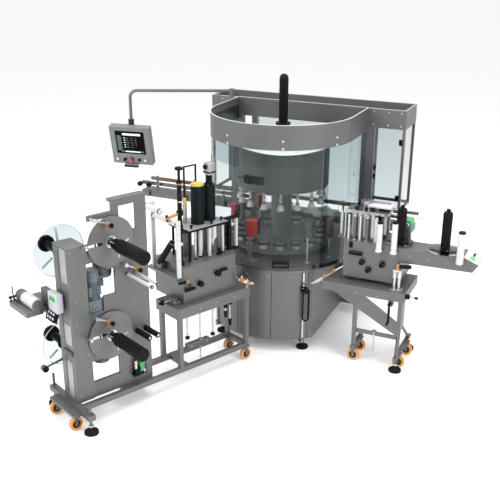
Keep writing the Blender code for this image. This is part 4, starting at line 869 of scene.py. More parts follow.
def buildRearReel(reel):
    # Black core, bolted hub and rim round the clear disc.
    work = Piece(leftFrame)
    u, z = reel["u"], reel["z"]
    start, end = (u, 0.421, z), (u, 2.0, z)
    work.turned(start, end, [(0, 0.036), (0.002, 0.04), (0.018, 0.04), (0.02, 0.0362), (0.106, 0.0362),
        (0.108, 0.058), (0.113, 0.058)], 0, 32)
    work.turned(start, end, [(0.1235, 0.058), (0.13, 0.056), (0.132, 0.0362), (0.331, 0.0362),
        (0.331, 0.066), (0.3335, 0.0712), (0.362, 0.0712), (0.366, 0.067), (0.366, 0.022), (0.363, 0.02),
        (0.363, 0)], 0, 40)
    for i in range(6):
        work.screw(addPoint(u, z, 0.05, 60 * i, 0.7865), (0, 1, 0), 1, 0.006)
    disc = reel["disc"]
    work.turned(start, end, [(0.1135, disc - 0.004), (0.1135, disc + 0.0008), (0.1225, disc + 0.0008),
        (0.1225, disc - 0.004)], 2, 64, hollow=True)
    for angle in (25, 145, 265):
        place = leftFrame @ Matrix.Translation((u, 0.539, z)) @ Matrix.Rotation(math.radians(angle), 4, 'Y')
        work.block((0.082, -0.0052, -0.009), (disc - 0.022, 0.0052, 0.009), 2, 0.002, place=place)
    work.done(reel["body"] + "Core", [blackCoat, brightSteel, whiteSleeve], reel["body"])


dancers = [{"body": "dancer_upper", "pivot": (0.23, 1.772), "end": (0.36, 1.715)},
    {"body": "dancer_lower", "pivot": (0.2, 0.93), "end": (0.32, 0.868)},
    {"body": "machine", "pivot": (0.5, 1.33), "end": (0.612, 1.268)}]


def buildDancer(dancer):
    work = Piece(leftFrame)
    pu, pz = dancer["pivot"]
    eu, ez = dancer["end"]
    if dancer["body"] == "machine":
        work.rod((pu, 0.206, pz), (pu, 0.135, pz), 0.014, 2, 20)
        work.rod((pu, 0.15, pz), (eu, 0.15, ez), 0.0095, 2, 16)
        work.rod((eu, 0.165, ez), (eu, 0.11, ez), 0.018, 1, 20)
    work.rod((pu, 0.134, pz), (pu, 0.126, pz), 0.018, 2, 24)
    along = Vector((eu - pu, 0, ez - pz)).normalized()
    drop = Vector((along.z, 0, -along.x))
    grip = Vector((eu, 0.15, ez))
    work.rod(grip - along * 0.024, grip + along * 0.02, 0.0195, 1, 12)
    work.rod(grip + drop * 0.012, grip + drop * 0.046, 0.0105, 1, 12)
    work.turned(grip - Vector((0, 0.039, 0)), grip - Vector((0, 1, 0)),
        [(0, 0.01), (0.004, 0.01), (0.005, 0.02), (0.022, 0.019), (0.027, 0.013), (0.027, 0)], 0, 20)
    work.done(dancer["body"] + "Clamp", [blackCoat, brass, brightSteel], dancer["body"])


sensors = [{"z": 1.57, "first": 0.115}, {"z": 0.772, "first": 0.105}]


def buildSensors():
    # Reflex sensors: blue gland, white sleeve and black head on a bracket from the tower.
    work = Piece(leftFrame)
    for sensor in sensors:
        a, z, w = sensor["first"], sensor["z"], 0.13
        work.block((a + 0.012, w - 0.004, z - 0.022), (a + 0.034, 0.2005, z - 0.013), 3, 0.002)
        work.block((a + 0.012, w - 0.014, z - 0.022), (a + 0.034, w + 0.014, z + 0.012), 3, 0.003)
        work.rod((a, w, z), (a + 0.036, w, z), 0.0085, 2, 16)
        work.rod((a + 0.036, w, z), (a + 0.098, w, z), 0.0115, 1, 20)
        work.rod((a + 0.098, w, z), (a + 0.168, w, z), 0.012, 0, 20)
        work.turned((a + 0.11, w, z), (a + 1, w, z),
            [(0, 0.012), (0.001, 0.0155), (0.008, 0.0155), (0.009, 0.012)], 3, 6)
    work.done("webSensors", [blackCoat, whiteSleeve, bluePaint, brightSteel], "machine")


bluePaint = makeFinish("bluePaint", {"colour": (0.02, 0.11, 0.36), "second": (0.03, 0.15, 0.44),
    "rough": 0.4, "scale": 60.0, "bump": 0.1, "wear": 0.2})
gearMotor = {"u": 0.258, "w": 0.295, "low": 1.04, "high": 1.31, "radius": 0.052, "fins": 11}


def buildGearMotors():
    work = Piece(leftFrame)
    u, w, low, high, r = (gearMotor[k] for k in ("u", "w", "low", "high", "radius"))
    profile = [(0, r + 0.001), (0.018, r + 0.001), (0.02, r + 0.012), (0.028, r + 0.012), (0.03, r + 0.002)]
    for i in range(gearMotor["fins"]):
        a = 0.04 + i * 0.0115
        profile += [(a, r + 0.002), (a + 0.0005, r + 0.01), (a + 0.0045, r + 0.01), (a + 0.005, r + 0.002)]
    profile += [(0.176, r + 0.002), (0.178, r + 0.011), (high - low - 0.012, r + 0.009),
        (high - low + 0.001, r - 0.004), (high - low + 0.002, 0)]
    work.turned((u, w, low), (u, w, high), profile, 0, 32)
    work.block((0.292, 0.26, 1.165), (0.352, 0.332, 1.235), 0, 0.004)
    work.block((0.183, 0.224, 0.912), (0.322, 0.357, 1.053), 0, 0.007)
    for z in (0.945, 0.98, 1.015):
        work.block((0.19, 0.218, z - 0.004), (0.216, 0.226, z + 0.004), 0, 0.002)
        work.block((0.29, 0.218, z - 0.004), (0.316, 0.226, z + 0.004), 0, 0.002)
    work.turned((0.253, 0.226, 0.982), (0.253, 0.0, 0.982),
        [(0, 0.046), (0.006, 0.046), (0.008, 0.043), (0.008, 0.024), (0.016, 0.022), (0.016, 0.012),
        (0.01, 0.011), (0.01, 0)], 0, 32)
    for i in range(4):
        work.screw(addPoint(0.253, 0.982, 0.036, 45 + 90 * i, 0.218), (0, -1, 0), 1, 0.005)
    for cu, cw, z0, z1, size in ((0.4, 0.36, 1.2, 1.4, 0.072), (0.34, 0.36, 0.42, 0.6, 0.07)):
        profile = [(0, size - 0.01), (0.003, size + 0.001), (0.016, size + 0.001)]
        for i in range(8):
            a = 0.022 + i * 0.0125
            profile += [(a, size + 0.0008), (a + 0.0005, size + 0.007), (a + 0.0045, size + 0.007),
                (a + 0.005, size + 0.0008)]
        profile += [(z1 - z0 - 0.05, size + 0.0008), (z1 - z0 - 0.048, size + 0.008),
            (z1 - z0 - 0.004, size + 0.006), (z1 - z0 + 0.001, size - 0.006)]
        work.turned((cu, cw, z0 - 0.001), (cu, cw, z1), profile, 0, 36)
        work.turned((cu, cw, z0 - 0.0005), (cu, cw, z0 - 1),
            [(0, size - 0.012), (0.004, size - 0.016), (0.004, 0.02), (0.002, 0.018), (0.002, 0)], 0, 36)
    work.done("gearMotors", [motorPaint, brightSteel], "machine")


towerCovers = [{"w": (0.215, 0.31), "z": (1.265, 1.555)}, {"w": (0.215, 0.325), "z": (0.712, 0.9)},
    {"w": (0.24, 0.325), "z": (0.222, 0.556)}, {"w": (0.34, 0.41), "z": (0.222, 1.545)}]


def buildTowerCovers():
    # Light inspection covers on the tower's end face, with their screws and a grip.
    work = Piece(leftFrame)
    for number, cover in enumerate(towerCovers):
        (w0, w1), (z0, z1) = cover["w"], cover["z"]
        paint = 0 if number < 3 else 1
        work.block((-0.0035, w0, z0), (0.0005, w1, z1), paint, 0.0012)
        for w in (w0 + 0.01, w1 - 0.01):
            for z in (z0 + 0.012, z1 - 0.012):
                work.screw((-0.0035, w, z), (-1, 0, 0), 2, 0.0042)
    work.block((-0.016, 0.215, 0.625), (0.0005, 0.35, 0.66), 3, 0.004)
    for u, z in ((0.03, 1.53), (0.135, 1.53), (0.045, 1.1), (0.045, 0.9), (0.135, 0.6), (0.03, 0.25),
            (0.135, 0.25)):
        work.screw((u, 0.2, z), (0, -1, 0), 2, 0.005)
        work.screw((u, 0.42, z), (0, 1, 0), 2, 0.005)
    work.block((-0.002, 0.198, 1.563), (0.167, 0.422, 1.572), 1, 0.002)
    work.done("towerCovers", [coverSteel, satinSteel, brightSteel, darkSteel], "machine")


controller = {"w": (0.275, 0.425), "z": (1.005, 1.17), "front": -0.078}


def buildController():
    # Winder control box: green display, black keypad with six pale keys, bracket to the tower.
    work = Piece(leftFrame)
    (w0, w1), (z0, z1), front = controller["w"], controller["z"], controller["front"]
    work.block((front, w0, z0), (-0.02, w1, z1), 0, 0.006)
    work.block((-0.022, w0 + 0.03, z0 + 0.03), (0.0005, w1 - 0.03, z1 - 0.03), 4, 0.003)
    work.block((front - 0.0025, w0 + 0.025, z1 - 0.07), (front + 0.001, w1 - 0.03, z1 - 0.022), 1, 0.001)
    for i in range(4):
        work.block((front - 0.0032, w0 + 0.036 + i * 0.021, z1 - 0.06),
            (front - 0.002, w0 + 0.05 + i * 0.021, z1 - 0.034), 2, 0.0004)
    place = leftFrame @ Matrix.Translation((front + 0.012, 0,
        z0 - 0.002)) @ Matrix.Rotation(math.radians(18), 4, 'Y')
    work.block((-0.012, w0 + 0.03, -0.088), (0.022, w1 + 0.03, 0.006), 3, 0.003, place=place)
    for row in range(2):
        for column in range(3):
            w = w0 + 0.047 + column * 0.04
            z = -0.066 + row * 0.038
            work.block((-0.0155, w, z), (-0.011, w + 0.022, z + 0.02), 5, 0.002, place=place)
    work.done("winderControl", [lilacPlastic, greenScreen, dimInk, blackCoat, satinSteel, whiteSleeve],
        "machine")


greenScreen = makeScreen("greenScreen", {"colour": (0.02, 0.4, 0.05), "second": (0.03, 0.48, 0.07),
    "rough": 0.25, "scale": 30.0, "wear": 0.1, "glow": (0.02, 0.45, 0.05), "power": 0.35, "coat": 0.4})
labelRoll = {"u": -0.14, "z": 1.03, "radius": 0.052, "w": (0.495, 0.705)}


def buildTray():
    # Label roll on its tray, with black cores, a stand arm and pinch fingers at the far end.
    work = Piece(leftFrame)
    u, z, r = labelRoll["u"], labelRoll["z"], labelRoll["radius"]
    w0, w1 = labelRoll["w"]
    length = w1 - w0
    work.turned((u, w0, z), (u, w1, z), [(0, 0.026), (0.001, r - 0.002), (0.003, r), (length - 0.003, r),
        (length - 0.001, r - 0.002), (length, 0.026)], 0, 40)
    for w, out in ((w0, -1), (w1, 1)):
        work.turned((u, w, z), (u, w + out, z), [(0, 0.03), (0.004, 0.029), (0.006, 0.026), (0.006, 0.012),
            (0.014, 0.011), (0.015, 0)], 1, 24)
    work.block((-0.245, 0.497, 0.984), (-0.085, 0.823, 0.99), 2, 0.002)
    for w in (0.52, 0.8):
        for u2 in (-0.23, -0.1):
            work.screw((u2, w, 0.99), (0, 0, 1), 2, 0.004)
    work.pipe([(-0.235, 0.79, 0.985), (-0.235, 0.79, 1.04), (-0.25, 0.7, 1.07), (-0.26, 0.6, 1.05)], 0.006,
        1)
    work.pipe([(-0.205, 0.8, 0.985), (-0.205, 0.81, 1.06), (-0.21, 0.8, 1.12)], 0.005, 1)
    work.rod((-0.252, 0.79, 1.03), (-0.19, 0.79, 1.03), 0.01, 1, 16)
    work.turned((-0.15, 0.422, 0.468), (-0.15, 1, 0.468),
        [(0, 0.012), (0.001, 0.027), (0.02, 0.027), (0.021, 0.012)], 1, 24)
    work.done("labelTray", [whiteSleeve, blackCoat, satinSteel], "machine")


nipEnds = [{"body": "nip_roller_1", "u": 0.546, "z": 1.22, "radius": 0.0155, "end": -0.17},
    {"body": "nip_roller_2", "u": 0.628, "z": 1.21, "radius": 0.0155, "end": -0.13},
    {"body": "nip_roller_3", "u": 0.618, "z": 0.672, "radius": 0.025, "end": 0.01},
    {"body": "nip_roller_4", "u": 0.704, "z": 0.672, "radius": 0.025, "end": 0.01}]


def buildNipEnd(nip):
    work = Piece(leftFrame)
    u, z, r = nip["u"], nip["z"], nip["radius"]
    start, end = (u, nip["end"] + 0.012, z), (u, -2, z)
    work.turned(start, end, [(0, r + 0.0006), (0.011, r + 0.0006), (0.0135, r - 0.002), (0.0135, r * 0.55),
        (0.012, r * 0.5), (0.012, 0)], 0, 24)
    work.turned(start, end, [(0.0115, r * 0.46), (0.015, r * 0.42), (0.0155, r * 0.2), (0.0155, 0)], 1, 20)
    work.turned((u, 0.199, z), end, [(0, r + 0.0006), (0.01, r + 0.0006), (0.012, r)], 0, 24)
    work.done(nip["body"] + "Ends", [blackCoat, whiteSleeve], nip["body"])


def buildValveBlock():
    work = Piece(leftFrame)
    work.block((0.545, 0.165, 0.252), (0.645, 0.2055, 0.282), 0, 0.003)
    for i in range(3):
        u = 0.552 + i * 0.03
        work.block((u, 0.15, 0.28), (u + 0.024, 0.2, 0.325 + 0.02 * (i % 2)), 0, 0.003)
    work.block((0.598, 0.145, 0.3), (0.634, 0.196, 0.392), 1, 0.005)
    for z in (0.318, 0.342, 0.366):
        work.block((0.596, 0.141, z), (0.636, 0.15, z + 0.01), 1, 0.002)
    work.rod((0.57, 0.178, 0.32), (0.57, 0.178, 0.405), 0.016, 2, 24)
    work.rod((0.57, 0.178, 0.404), (0.57, 0.178, 0.428), 0.009, 0, 16)
    work.done("valveBlock", [blackCoat, greenPaint, brightSteel], "machine")


for reel in reels:
    buildReel(reel)
for reel in rearReels:
    buildRearReel(reel)
for dancer in dancers:
    buildDancer(dancer)
buildSensors()
buildGearMotors()
buildTowerCovers()
buildController()
buildTray()
for nip in nipEnds:
    buildNipEnd(nip)
buildValveBlock()
print("left unit dressed")

# Feet and castors
feet = [{"frame": cellFrame, "spots": ((-0.4435, -0.475), (0.4435, -0.475), (0.68, 0.8), (-0.68, 0.8))},
    {"frame": leftFrame, "spots": ((0.0, 0.0), (0.0, 0.616))},
    {"frame": cellFrame, "spots": ((1.42, -0.56), (1.42, -0.052))}]


def buildFeet():
    # Levelling feet: rubber pad, domed cap, lock nut on the thread.
    work = Piece()
    for group in feet:
        for x, y in group["spots"]:
            work.turned((x, y, 0.0), (x, y, 1.0),
                [(0, 0.055), (0.002, 0.06), (0.012, 0.0605), (0.013, 0.058), (0.015, 0.0595),
                (0.022, 0.059), (0.03, 0.046), (0.04, 0.026), (0.044, 0.021), (0.06, 0.02), (0.061, 0.014)],
                0, 36, place=group["frame"])
            work.turned((x, y, 0.062), (x, y, 1.0),
                [(0, 0.015), (0.001, 0.0225), (0.014, 0.0225), (0.015, 0.015)], 1, 6, place=group["frame"])
    work.done("footPads", [rubber, brightSteel], "machine")


castors = [{"frame": leftFrame, "prefix": "left_castor_",
    "spots": ((-0.07, 0.13), (-0.07, 0.465), (1.815, 0.162), (1.815, 0.417))},
    {"frame": cellFrame, "prefix": "right_castor_",
    "spots": ((0.986, -0.502), (0.986, -0.287), (1.423, -0.461), (1.434, -0.186))}]
castorLook = {"half": 0.016}


def buildCastors():
    for group in castors:
        for number, (x, y) in enumerate(group["spots"]):
            work = Piece(group["frame"])
            name = group["prefix"] + str(number + 1)
            low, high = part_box(name)
            z = (low.z + high.z) / 2
            r = (high.z - low.z) / 2
            half = castorLook["half"]
            work.turned((x, y - half, z), (x, y + 1, z),
                [(0, r - 0.02), (0.0002, r - 0.005), (0.004, r - 0.0005), (0.01, r + 0.0002),
                (0.022, r + 0.0002), (0.028, r - 0.0005), (0.0318, r - 0.005), (0.032, r - 0.02)], 0, 40)
            for side in (-1, 1):
                spot = (x, y + side * half, z)
                out = (x, y + side * 2, z)
                work.turned(spot, out, [(0, r * 0.62), (0.0012, r * 0.61), (0.0018, r * 0.42),
                    (0.0026, r * 0.4), (0.0026, 0)], 1, 32)
                work.turned(spot, out, [(0.002, r * 0.3), (0.0034, r * 0.28), (0.0036, 0)], 2, 24)
            work.done(name + "Tyre", [orangePaint, blackCoat, whiteSleeve], name)


buildFeet()
buildCastors()
print("feet and castors dressed")

# Label head of the left unit, its web posts and clamps
headDeck = 1.1145
tableUnder = 0.6705
headRollers = [{"u": 1.428, "w": 0.35, "radius": 0.0165, "paint": 0},
    {"u": 1.469, "w": 0.38, "radius": 0.014, "paint": 1},
    {"u": 1.528, "w": 0.35, "radius": 0.0165, "paint": 0},
    {"u": 1.582, "w": 0.39, "radius": 0.01, "paint": 1},
    {"u": 1.355, "w": 0.33, "radius": 0.013, "paint": 1},
    {"u": 1.66, "w": 0.31, "radius": 0.0125, "paint": 0}]


def addStandRoller(work, u, w, low, high, radius, paint):
    # Upright roller: foot flange, sleeve, black caps and a spindle pin.
    work.turned((u, w, low), (u, w, high), [(0, radius + 0.007), (0.003, radius + 0.007),
        (0.004, radius + 0.001), (0.01, radius + 0.001), (0.01, 0.5 * radius)], 2, 24)
    work.turned((u, w, low + 0.01), (u, w, high),
        [(0, radius - 0.001), (0.001, radius), (high - low - 0.023, radius),
        (high - low - 0.022, radius - 0.001)], paint, 28)
    work.turned((u, w, high - 0.013), (u, w, high + 1),
        [(0, radius + 0.001), (0.008, radius + 0.001), (0.01, radius - 0.002), (0.01, 0.004),
        (0.016, 0.004), (0.016, 0)], 2, 24)


def buildHeadRollers():
    work = Piece(leftFrame)
    for roller in headRollers:
        addStandRoller(work, roller["u"], roller["w"], headDeck, 1.398, roller["radius"], roller["paint"])
    work.block((1.665, 0.4, headDeck), (1.835, 0.412, 1.4), 3, 0.002)
    work.block((1.3, 0.44, headDeck), (1.4, 0.452, 1.4), 3, 0.002)
    work.block((1.48, 0.47, headDeck), (1.65, 0.48, 1.4), 4, 0.002)
    for u in (1.685, 1.815):
        for z in (1.14, 1.37):
            work.screw((u, 0.4, z), (0, -1, 0), 1, 0.006)
    work.block((1.725, 0.385, 1.235), (1.765, 0.4, 1.25), 2, 0.003)
    work.turned((1.6, 0.29, headDeck), (1.6, 0.29, 2),
        [(0, 0.03), (0.01, 0.03), (0.012, 0.012), (0.035, 0.011), (0.037, 0.018), (0.05, 0.018),
        (0.052, 0)], 2, 24)
    work.done("headRollers", [whiteSleeve, brightSteel, blackCoat, plateSteel, satinSteel], "machine")


motors = [{"u": 1.44, "w": 0.4, "low": 1.42, "high": 1.8, "radius": 0.058, "ring": True},
    {"u": 1.59, "w": 0.42, "low": 1.42, "high": 1.76, "radius": 0.054, "ring": False}]


def buildMotors():
    work = Piece(leftFrame)
    for motor in motors:
        u, w, low, high, r = motor["u"], motor["w"], motor["low"], motor["high"], motor["radius"]
        tall = high - low
        profile = [(0.0, r + 0.006), (0.01, r + 0.006), (0.012, r + 0.001)]
        for i in range(9):
            a = 0.03 + i * 0.03
            profile += [(a, r + 0.001), (a + 0.001, r + 0.0032), (a + 0.022, r + 0.0032),
                (a + 0.023, r + 0.001)]
        profile += [(tall - 0.028, r + 0.001), (tall - 0.02,
            r - 0.004)] if motor["ring"] else [(tall - 0.004, r + 0.001), (tall + 0.001, r - 0.004)]
        work.turned((u, w, low), (u, w, high), profile, 0, 36)
        work.turned((u, w, low), (u, w, high), [(tall - 0.018, r + 0.0012), (tall - 0.018, r + 0.0036),
            (tall - 0.004, r + 0.0036), (tall + 0.002, r - 0.006), (tall + 0.002, 0.022),
            (tall + 0.006, 0.02), (tall + 0.006, 0)], 1 if motor["ring"] else 0, 36)
        for i in range(4):
            angle = math.radians(45 + 90 * i)
            work.screw((u + (r - 0.012) * math.cos(angle), w + (r - 0.012) * math.sin(angle), high + 0.002),
                (0, 0, 1), 2, 0.004)
    work.done("headMotors", [motorBlack, yellowPaint, brightSteel], "machine")


motorBlack = makeFinish("motorBlack", {"colour": (0.005, 0.007, 0.008), "second": (0.01, 0.013, 0.015),
    "metal": 0.1, "rough": 0.36, "scale": 80.0, "bump": 0.12, "wear": 0.15, "dust": 0.0,
    "worn": (0.03, 0.035, 0.04), "wearWidth": 0.002, "gloss": 0.1})


def buildHeadFittings():
    # Gear box on the second drive, brass swing arm, spindle rings, thumb screws and levers.
    work = Piece(leftFrame)
    work.turned((1.59, 0.42, 1.764), (1.59, 0.42, 2),
        [(0, 0.04), (0.01, 0.04), (0.012, 0.03), (0.086, 0.03)], 0, 28)
    work.block((1.562, 0.385, 1.85), (1.64, 0.462, 1.962), 3, 0.006)
    work.block((1.556, 0.38, 1.868), (1.646, 0.467, 1.88), 0, 0.003)
    work.rod((1.54, 0.425, 1.925), (1.563, 0.425, 1.925), 0.022, 0, 24)
    place = leftFrame @ Matrix.Translation((1.17, 0.3, 1.6)) @ Matrix.Rotation(math.radians(-9), 4, 'Y')
    work.block((-0.15, -0.014, -0.011), (0.04, 0.014, 0.011), 1, 0.004, place=place)
    work.turned((0, 0, -0.02), (0, 0, 1), [(0, 0.027), (0.001, 0.03), (0.04, 0.03), (0.041, 0.027)], 0, 24,
        place=place)
    work.rod((-0.138, 0, -0.03), (-0.138, 0, 0.03), 0.012, 0, 20, place=place)
    work.rod((0.03, 0, 0.008), (0.03, 0, 0.034), 0.01, 2, 20, place=place)
    for z0, z1, r, paint in ((1.858, 1.872, 0.026, 1), (1.874, 1.884, 0.029, 0), (1.7, 1.712, 0.026, 2),
            (1.45, 1.49, 0.027, 0), (1.3, 1.33, 0.027, 2), (1.115, 1.135, 0.034, 0)):
        work.turned((1.17, 0.3, z0), (1.17, 0.3, 3),
            [(0, r - 0.002), (0.002, r), (z1 - z0 - 0.002, r), (z1 - z0, r - 0.002), (z1 - z0, 0.015)],
            paint, 24)
    work.turned((1.17, 0.3, 1.99), (1.17, 0.3, 3),
        [(0, 0.014), (0.002, 0.034), (0.018, 0.036), (0.024, 0.03), (0.026, 0)], 0, 28)
    for u, w, z in ((1.3, 0.31, 1.42), (1.52, 0.3, 1.42), (1.66, 0.33, 1.42), (1.86, 0.36, 1.419)):
        work.turned((u, w, z - 0.001), (u, w, 3),
            [(0, 0.008), (0.02, 0.008), (0.021, 0.016), (0.034, 0.015), (0.038, 0.01), (0.038, 0)], 0, 20)
    work.rod((1.35, 0.47, 1.6), (1.35, 0.47, 1.66), 0.018, 4, 20)
    work.block((1.335, 0.455, 1.419), (1.365, 0.485, 1.602), 3, 0.003)
    work.block((1.245, 0.272, 1.4185), (1.695, 0.578, 1.4235), 3, 0.002)
    work.rod((1.205, 0.34, 1.4185), (1.205, 0.34, 1.7), 0.009, 0, 16)
    for z, paint in ((1.5, 5), (1.56, 4), (1.64, 0)):
        work.turned((1.205, 0.34, z), (1.205, 0.34, 3),
            [(0, 0.01), (0.001, 0.017), (0.022, 0.017), (0.023, 0.01)], paint, 20)
    work.done("headFittings", [blackCoat, brass, brightSteel, coverSteel, yellowPaint, greenPaint],
        "machine")


webPost = {"u": (1.0535, 1.0965), "w": (0.1885, 0.2065), "z": (1.0395, 1.5715),
    "screws": (1.537, 1.455, 1.398, 1.209, 1.123)}


def buildWebPosts():
    work = Piece(leftFrame)
    (u0, u1), (w0, w1), (z0, z1) = webPost["u"], webPost["w"], webPost["z"]
    work.block((u0, w0, z0), (u1, w1, z1), 0, 0.004)
    for z in webPost["screws"]:
        work.screw((1.075, w0, z), (0, -1, 0), 1, 0.006)
    work.block((1.0535, 0.5735, 1.0395), (1.0965, 0.5915, 1.6615), 0, 0.004)
    work.block((0.9735, 0.5745, 1.5985), (1.0955, 0.5905, 1.6615), 0, 0.004)
    start, end = Vector((1.075, 0.292, 1.35)), Vector((1.075, 0.5, 1.098))
    along = (end - start).normalized()
    length = (end - start).length
    work.turned(start - along * 0.001, end, [(0, 0.02), (0.002, 0.0265), (0.004, 0.0288),
        (length - 0.004, 0.0288), (length, 0.0265)], 2, 32)
    work.turned(start - along * 0.012, end, [(0, 0.01), (0.001, 0.016), (0.012, 0.016)], 2, 6)
    work.done("webPosts", [whiteSleeve, brightSteel, rubber], "machine")


bodyKnobs = [{"frame": leftFrame, "spot": (1.3, 0.2, 0.93)}, {"frame": leftFrame, "spot": (1.5, 0.2, 0.98)},
    {"frame": cellFrame, "spot": (1.005, -0.44, 1.01)}, {"frame": cellFrame, "spot": (1.07, -0.44, 0.94)},
    {"frame": cellFrame, "spot": (1.2, -0.44, 1.015)}]


def buildBodyKnobs():
    # Lobed clamping knobs on both label bodies, black grips and pointer levers.
    work = Piece(leftFrame)
    for knob in bodyKnobs:
        x, y, z = knob["spot"]
        place = knob["frame"]
        work.turned((x, y + 0.001, z), (x, y - 1, z),
            [(0, 0.028), (0.003, 0.028), (0.004, 0.0255), (0.036, 0.0255), (0.042, 0.022), (0.0425, 0.01),
            (0.041, 0.009), (0.041, 0)], 0, 28, place=place)
        for i in range(7):
            turn = 2 * math.pi * i / 7
            a, b = x + 0.024 * math.cos(turn), z + 0.024 * math.sin(turn)
            work.rod((a, y - 0.01, b), (a, y - 0.039, b), 0.0045, 0, 10, place=place)
    work.block((1.115, 0.1635, 0.8985), (1.232, 0.1865, 0.9265), 0, 0.004)
    work.rod((1.045, 0.168, 1.005), (1.12, 0.168, 0.998), 0.0145, 0, 20)
    work.rod((1.122, 0.168, 1.0), (1.15, 0.168, 0.994), 0.017, 1, 12)
    work.rod((1.14, 0.168, 0.996), (1.14, 0.2005, 0.996), 0.01, 2, 16)
    work.rod((1.145, 0.168, 0.985), (1.172, 0.168, 0.955), 0.007, 0, 12)
    work.block((1.53, 0.176, 0.985), (1.61, 0.196, 1.01), 0, 0.004)
    work.block((0.876, -0.47, 1.072), (1.004, -0.4385, 1.103), 0, 0.004, place=cellFrame)
    work.block((0.872, -0.452, 1.135), (0.906, -0.4385, 1.196), 0, 0.004, place=cellFrame)
    work.done("bodyKnobs", [blackCoat, brass, brightSteel], "machine")


dockClamps = [{"place": leftFrame, "clamps": (0, 1),
    "rods": ((1.735, 0.125, 0.868), (1.8, 0.12, 0.822), (1.872, 0.122, 0.795))},
    {"place": cellFrame, "clamps": (0,), "rods": (roundSpot(0.775, -34.5, 0.782),
    roundSpot(0.735, -40.0, 0.735), roundSpot(0.699, -42.0, 0.712))}]


def buildDockClamps():
    # Brass clamps and pale rods that lock both trolleys to the cell.
    work = Piece(leftFrame)
    for dock in dockClamps:
        spots = [Vector(spot) for spot in dock["rods"]]
        for first, second, radius in zip(spots, spots[1:], (0.016, 0.011)):
            work.rod(first, second, radius, 1, 20, place=dock["place"])
        along = (spots[1] - spots[0]).normalized()
        for number in dock["clamps"]:
            spot = spots[number]
            work.rod(spot - along * 0.017, spot + along * 0.017, 0.025, 0, 10, place=dock["place"])
            work.rod(spot + Vector((0, 0, 0.012)), spot + Vector((0, 0, 0.042)), 0.01, 2, 14,
                place=dock["place"])
    work.rod((1.735, 0.125, 0.868), (1.7, 0.128, 0.88), 0.0115, 2, 16)
    work.rod((1.705, 0.205, 0.88), (1.705, 0.118, 0.88), 0.0125, 2, 16)
    work.rod((1.8, 0.12, 0.822), (1.8, 0.135, 0.7705), 0.01, 2, 16)
    work.rod(roundSpot(0.775, -34.5, 0.782), (0.735, -0.45, 0.87), 0.007, 1, 14, place=cellFrame)
    work.rod((0.718, -0.45, 0.852), (0.748, -0.45, 0.886), 0.018, 0, 10, place=cellFrame)
    work.rod((0.735, -0.45, 0.87), (0.822, -0.42, 0.93), 0.007, 1, 14, place=cellFrame)
    work.done("dockClamps", [brass, whiteSleeve, brightSteel], "machine")


webRollers = [{"body": "web_roller_top", "u": 1.075, "z": 1.535, "radius": 0.022, "low": 0.205,
    "high": 0.575}, {"body": "web_roller_large", "u": 1.0, "z": 1.635, "radius": 0.028, "low": 0.345,
    "high": 0.57}]


def buildWebRollerCaps(roller):
    # Black end rings and a bright axle nut on a lying web roller.
    work = Piece(leftFrame)
    u, z, r = roller["u"], roller["z"], roller["radius"]
    for w, out in ((roller["low"] + 0.016, -1), (roller["high"] - 0.016, 1)):
        work.turned((u, w, z), (u, w + out * 9, z),
            [(0, r + 0.0006), (0.0145, r + 0.0006), (0.0155, r - 0.002), (0.0155, r * 0.4)], 0, 28)
    work.turned((u, roller["low"] + 0.045, z), (u, 9, z),
        [(0, r), (0.001, r + 0.0008), (0.006, r + 0.0008), (0.007, r)], 1, 28, hollow=True)
    work.done(roller["body"] + "Caps", [blackCoat, brightSteel], roller["body"])


def buildShelfSlide():
    # Cross slide on the trolley's table, with its screw and turning knob.
    work = Piece(leftFrame)
    work.block((1.035, 0.235, 0.7695), (1.115, 0.405, 0.792), 0, 0.003)
    work.block((1.045, 0.262, 0.791), (1.1, 0.33, 0.815), 0, 0.003)
    work.rod((0.935, 0.3, 0.8), (1.048, 0.3, 0.8), 0.0085, 1, 16)
    work.turned((0.962, 0.3, 0.8), (0, 0.3, 0.8),
        [(0, 0.01), (0.001, 0.024), (0.022, 0.023), (0.027, 0.014), (0.045, 0.012), (0.047, 0)], 2, 24)
    for w in (0.25, 0.39):
        work.screw((1.06, w, 0.792), (0, 0, 1), 1, 0.006)
        work.screw((1.098, w, 0.792), (0, 0, 1), 1, 0.006)
    for u in (1.25, 1.45, 1.65, 1.8):
        work.screw((u, 0.1305, 0.72), (0, -1, 0), 1, 0.006)
    work.done("shelfSlide", [plateSteel, brightSteel, blackCoat], "machine")


spindles = [{"name": "tableSpindle", "place": leftFrame, "spot": (1.37, 0.3), "top": tableUnder,
    "low": 0.115, "nut": 0.305, "rods": ((1.222, 0.3, 0.385), (1.52, 0.3, 0.33))},
    {"name": "shelfSpindle", "place": cellFrame, "spot": (1.18, -0.4985), "top": 0.356, "low": 0.15,
    "nut": 0.341, "rods": ()}]


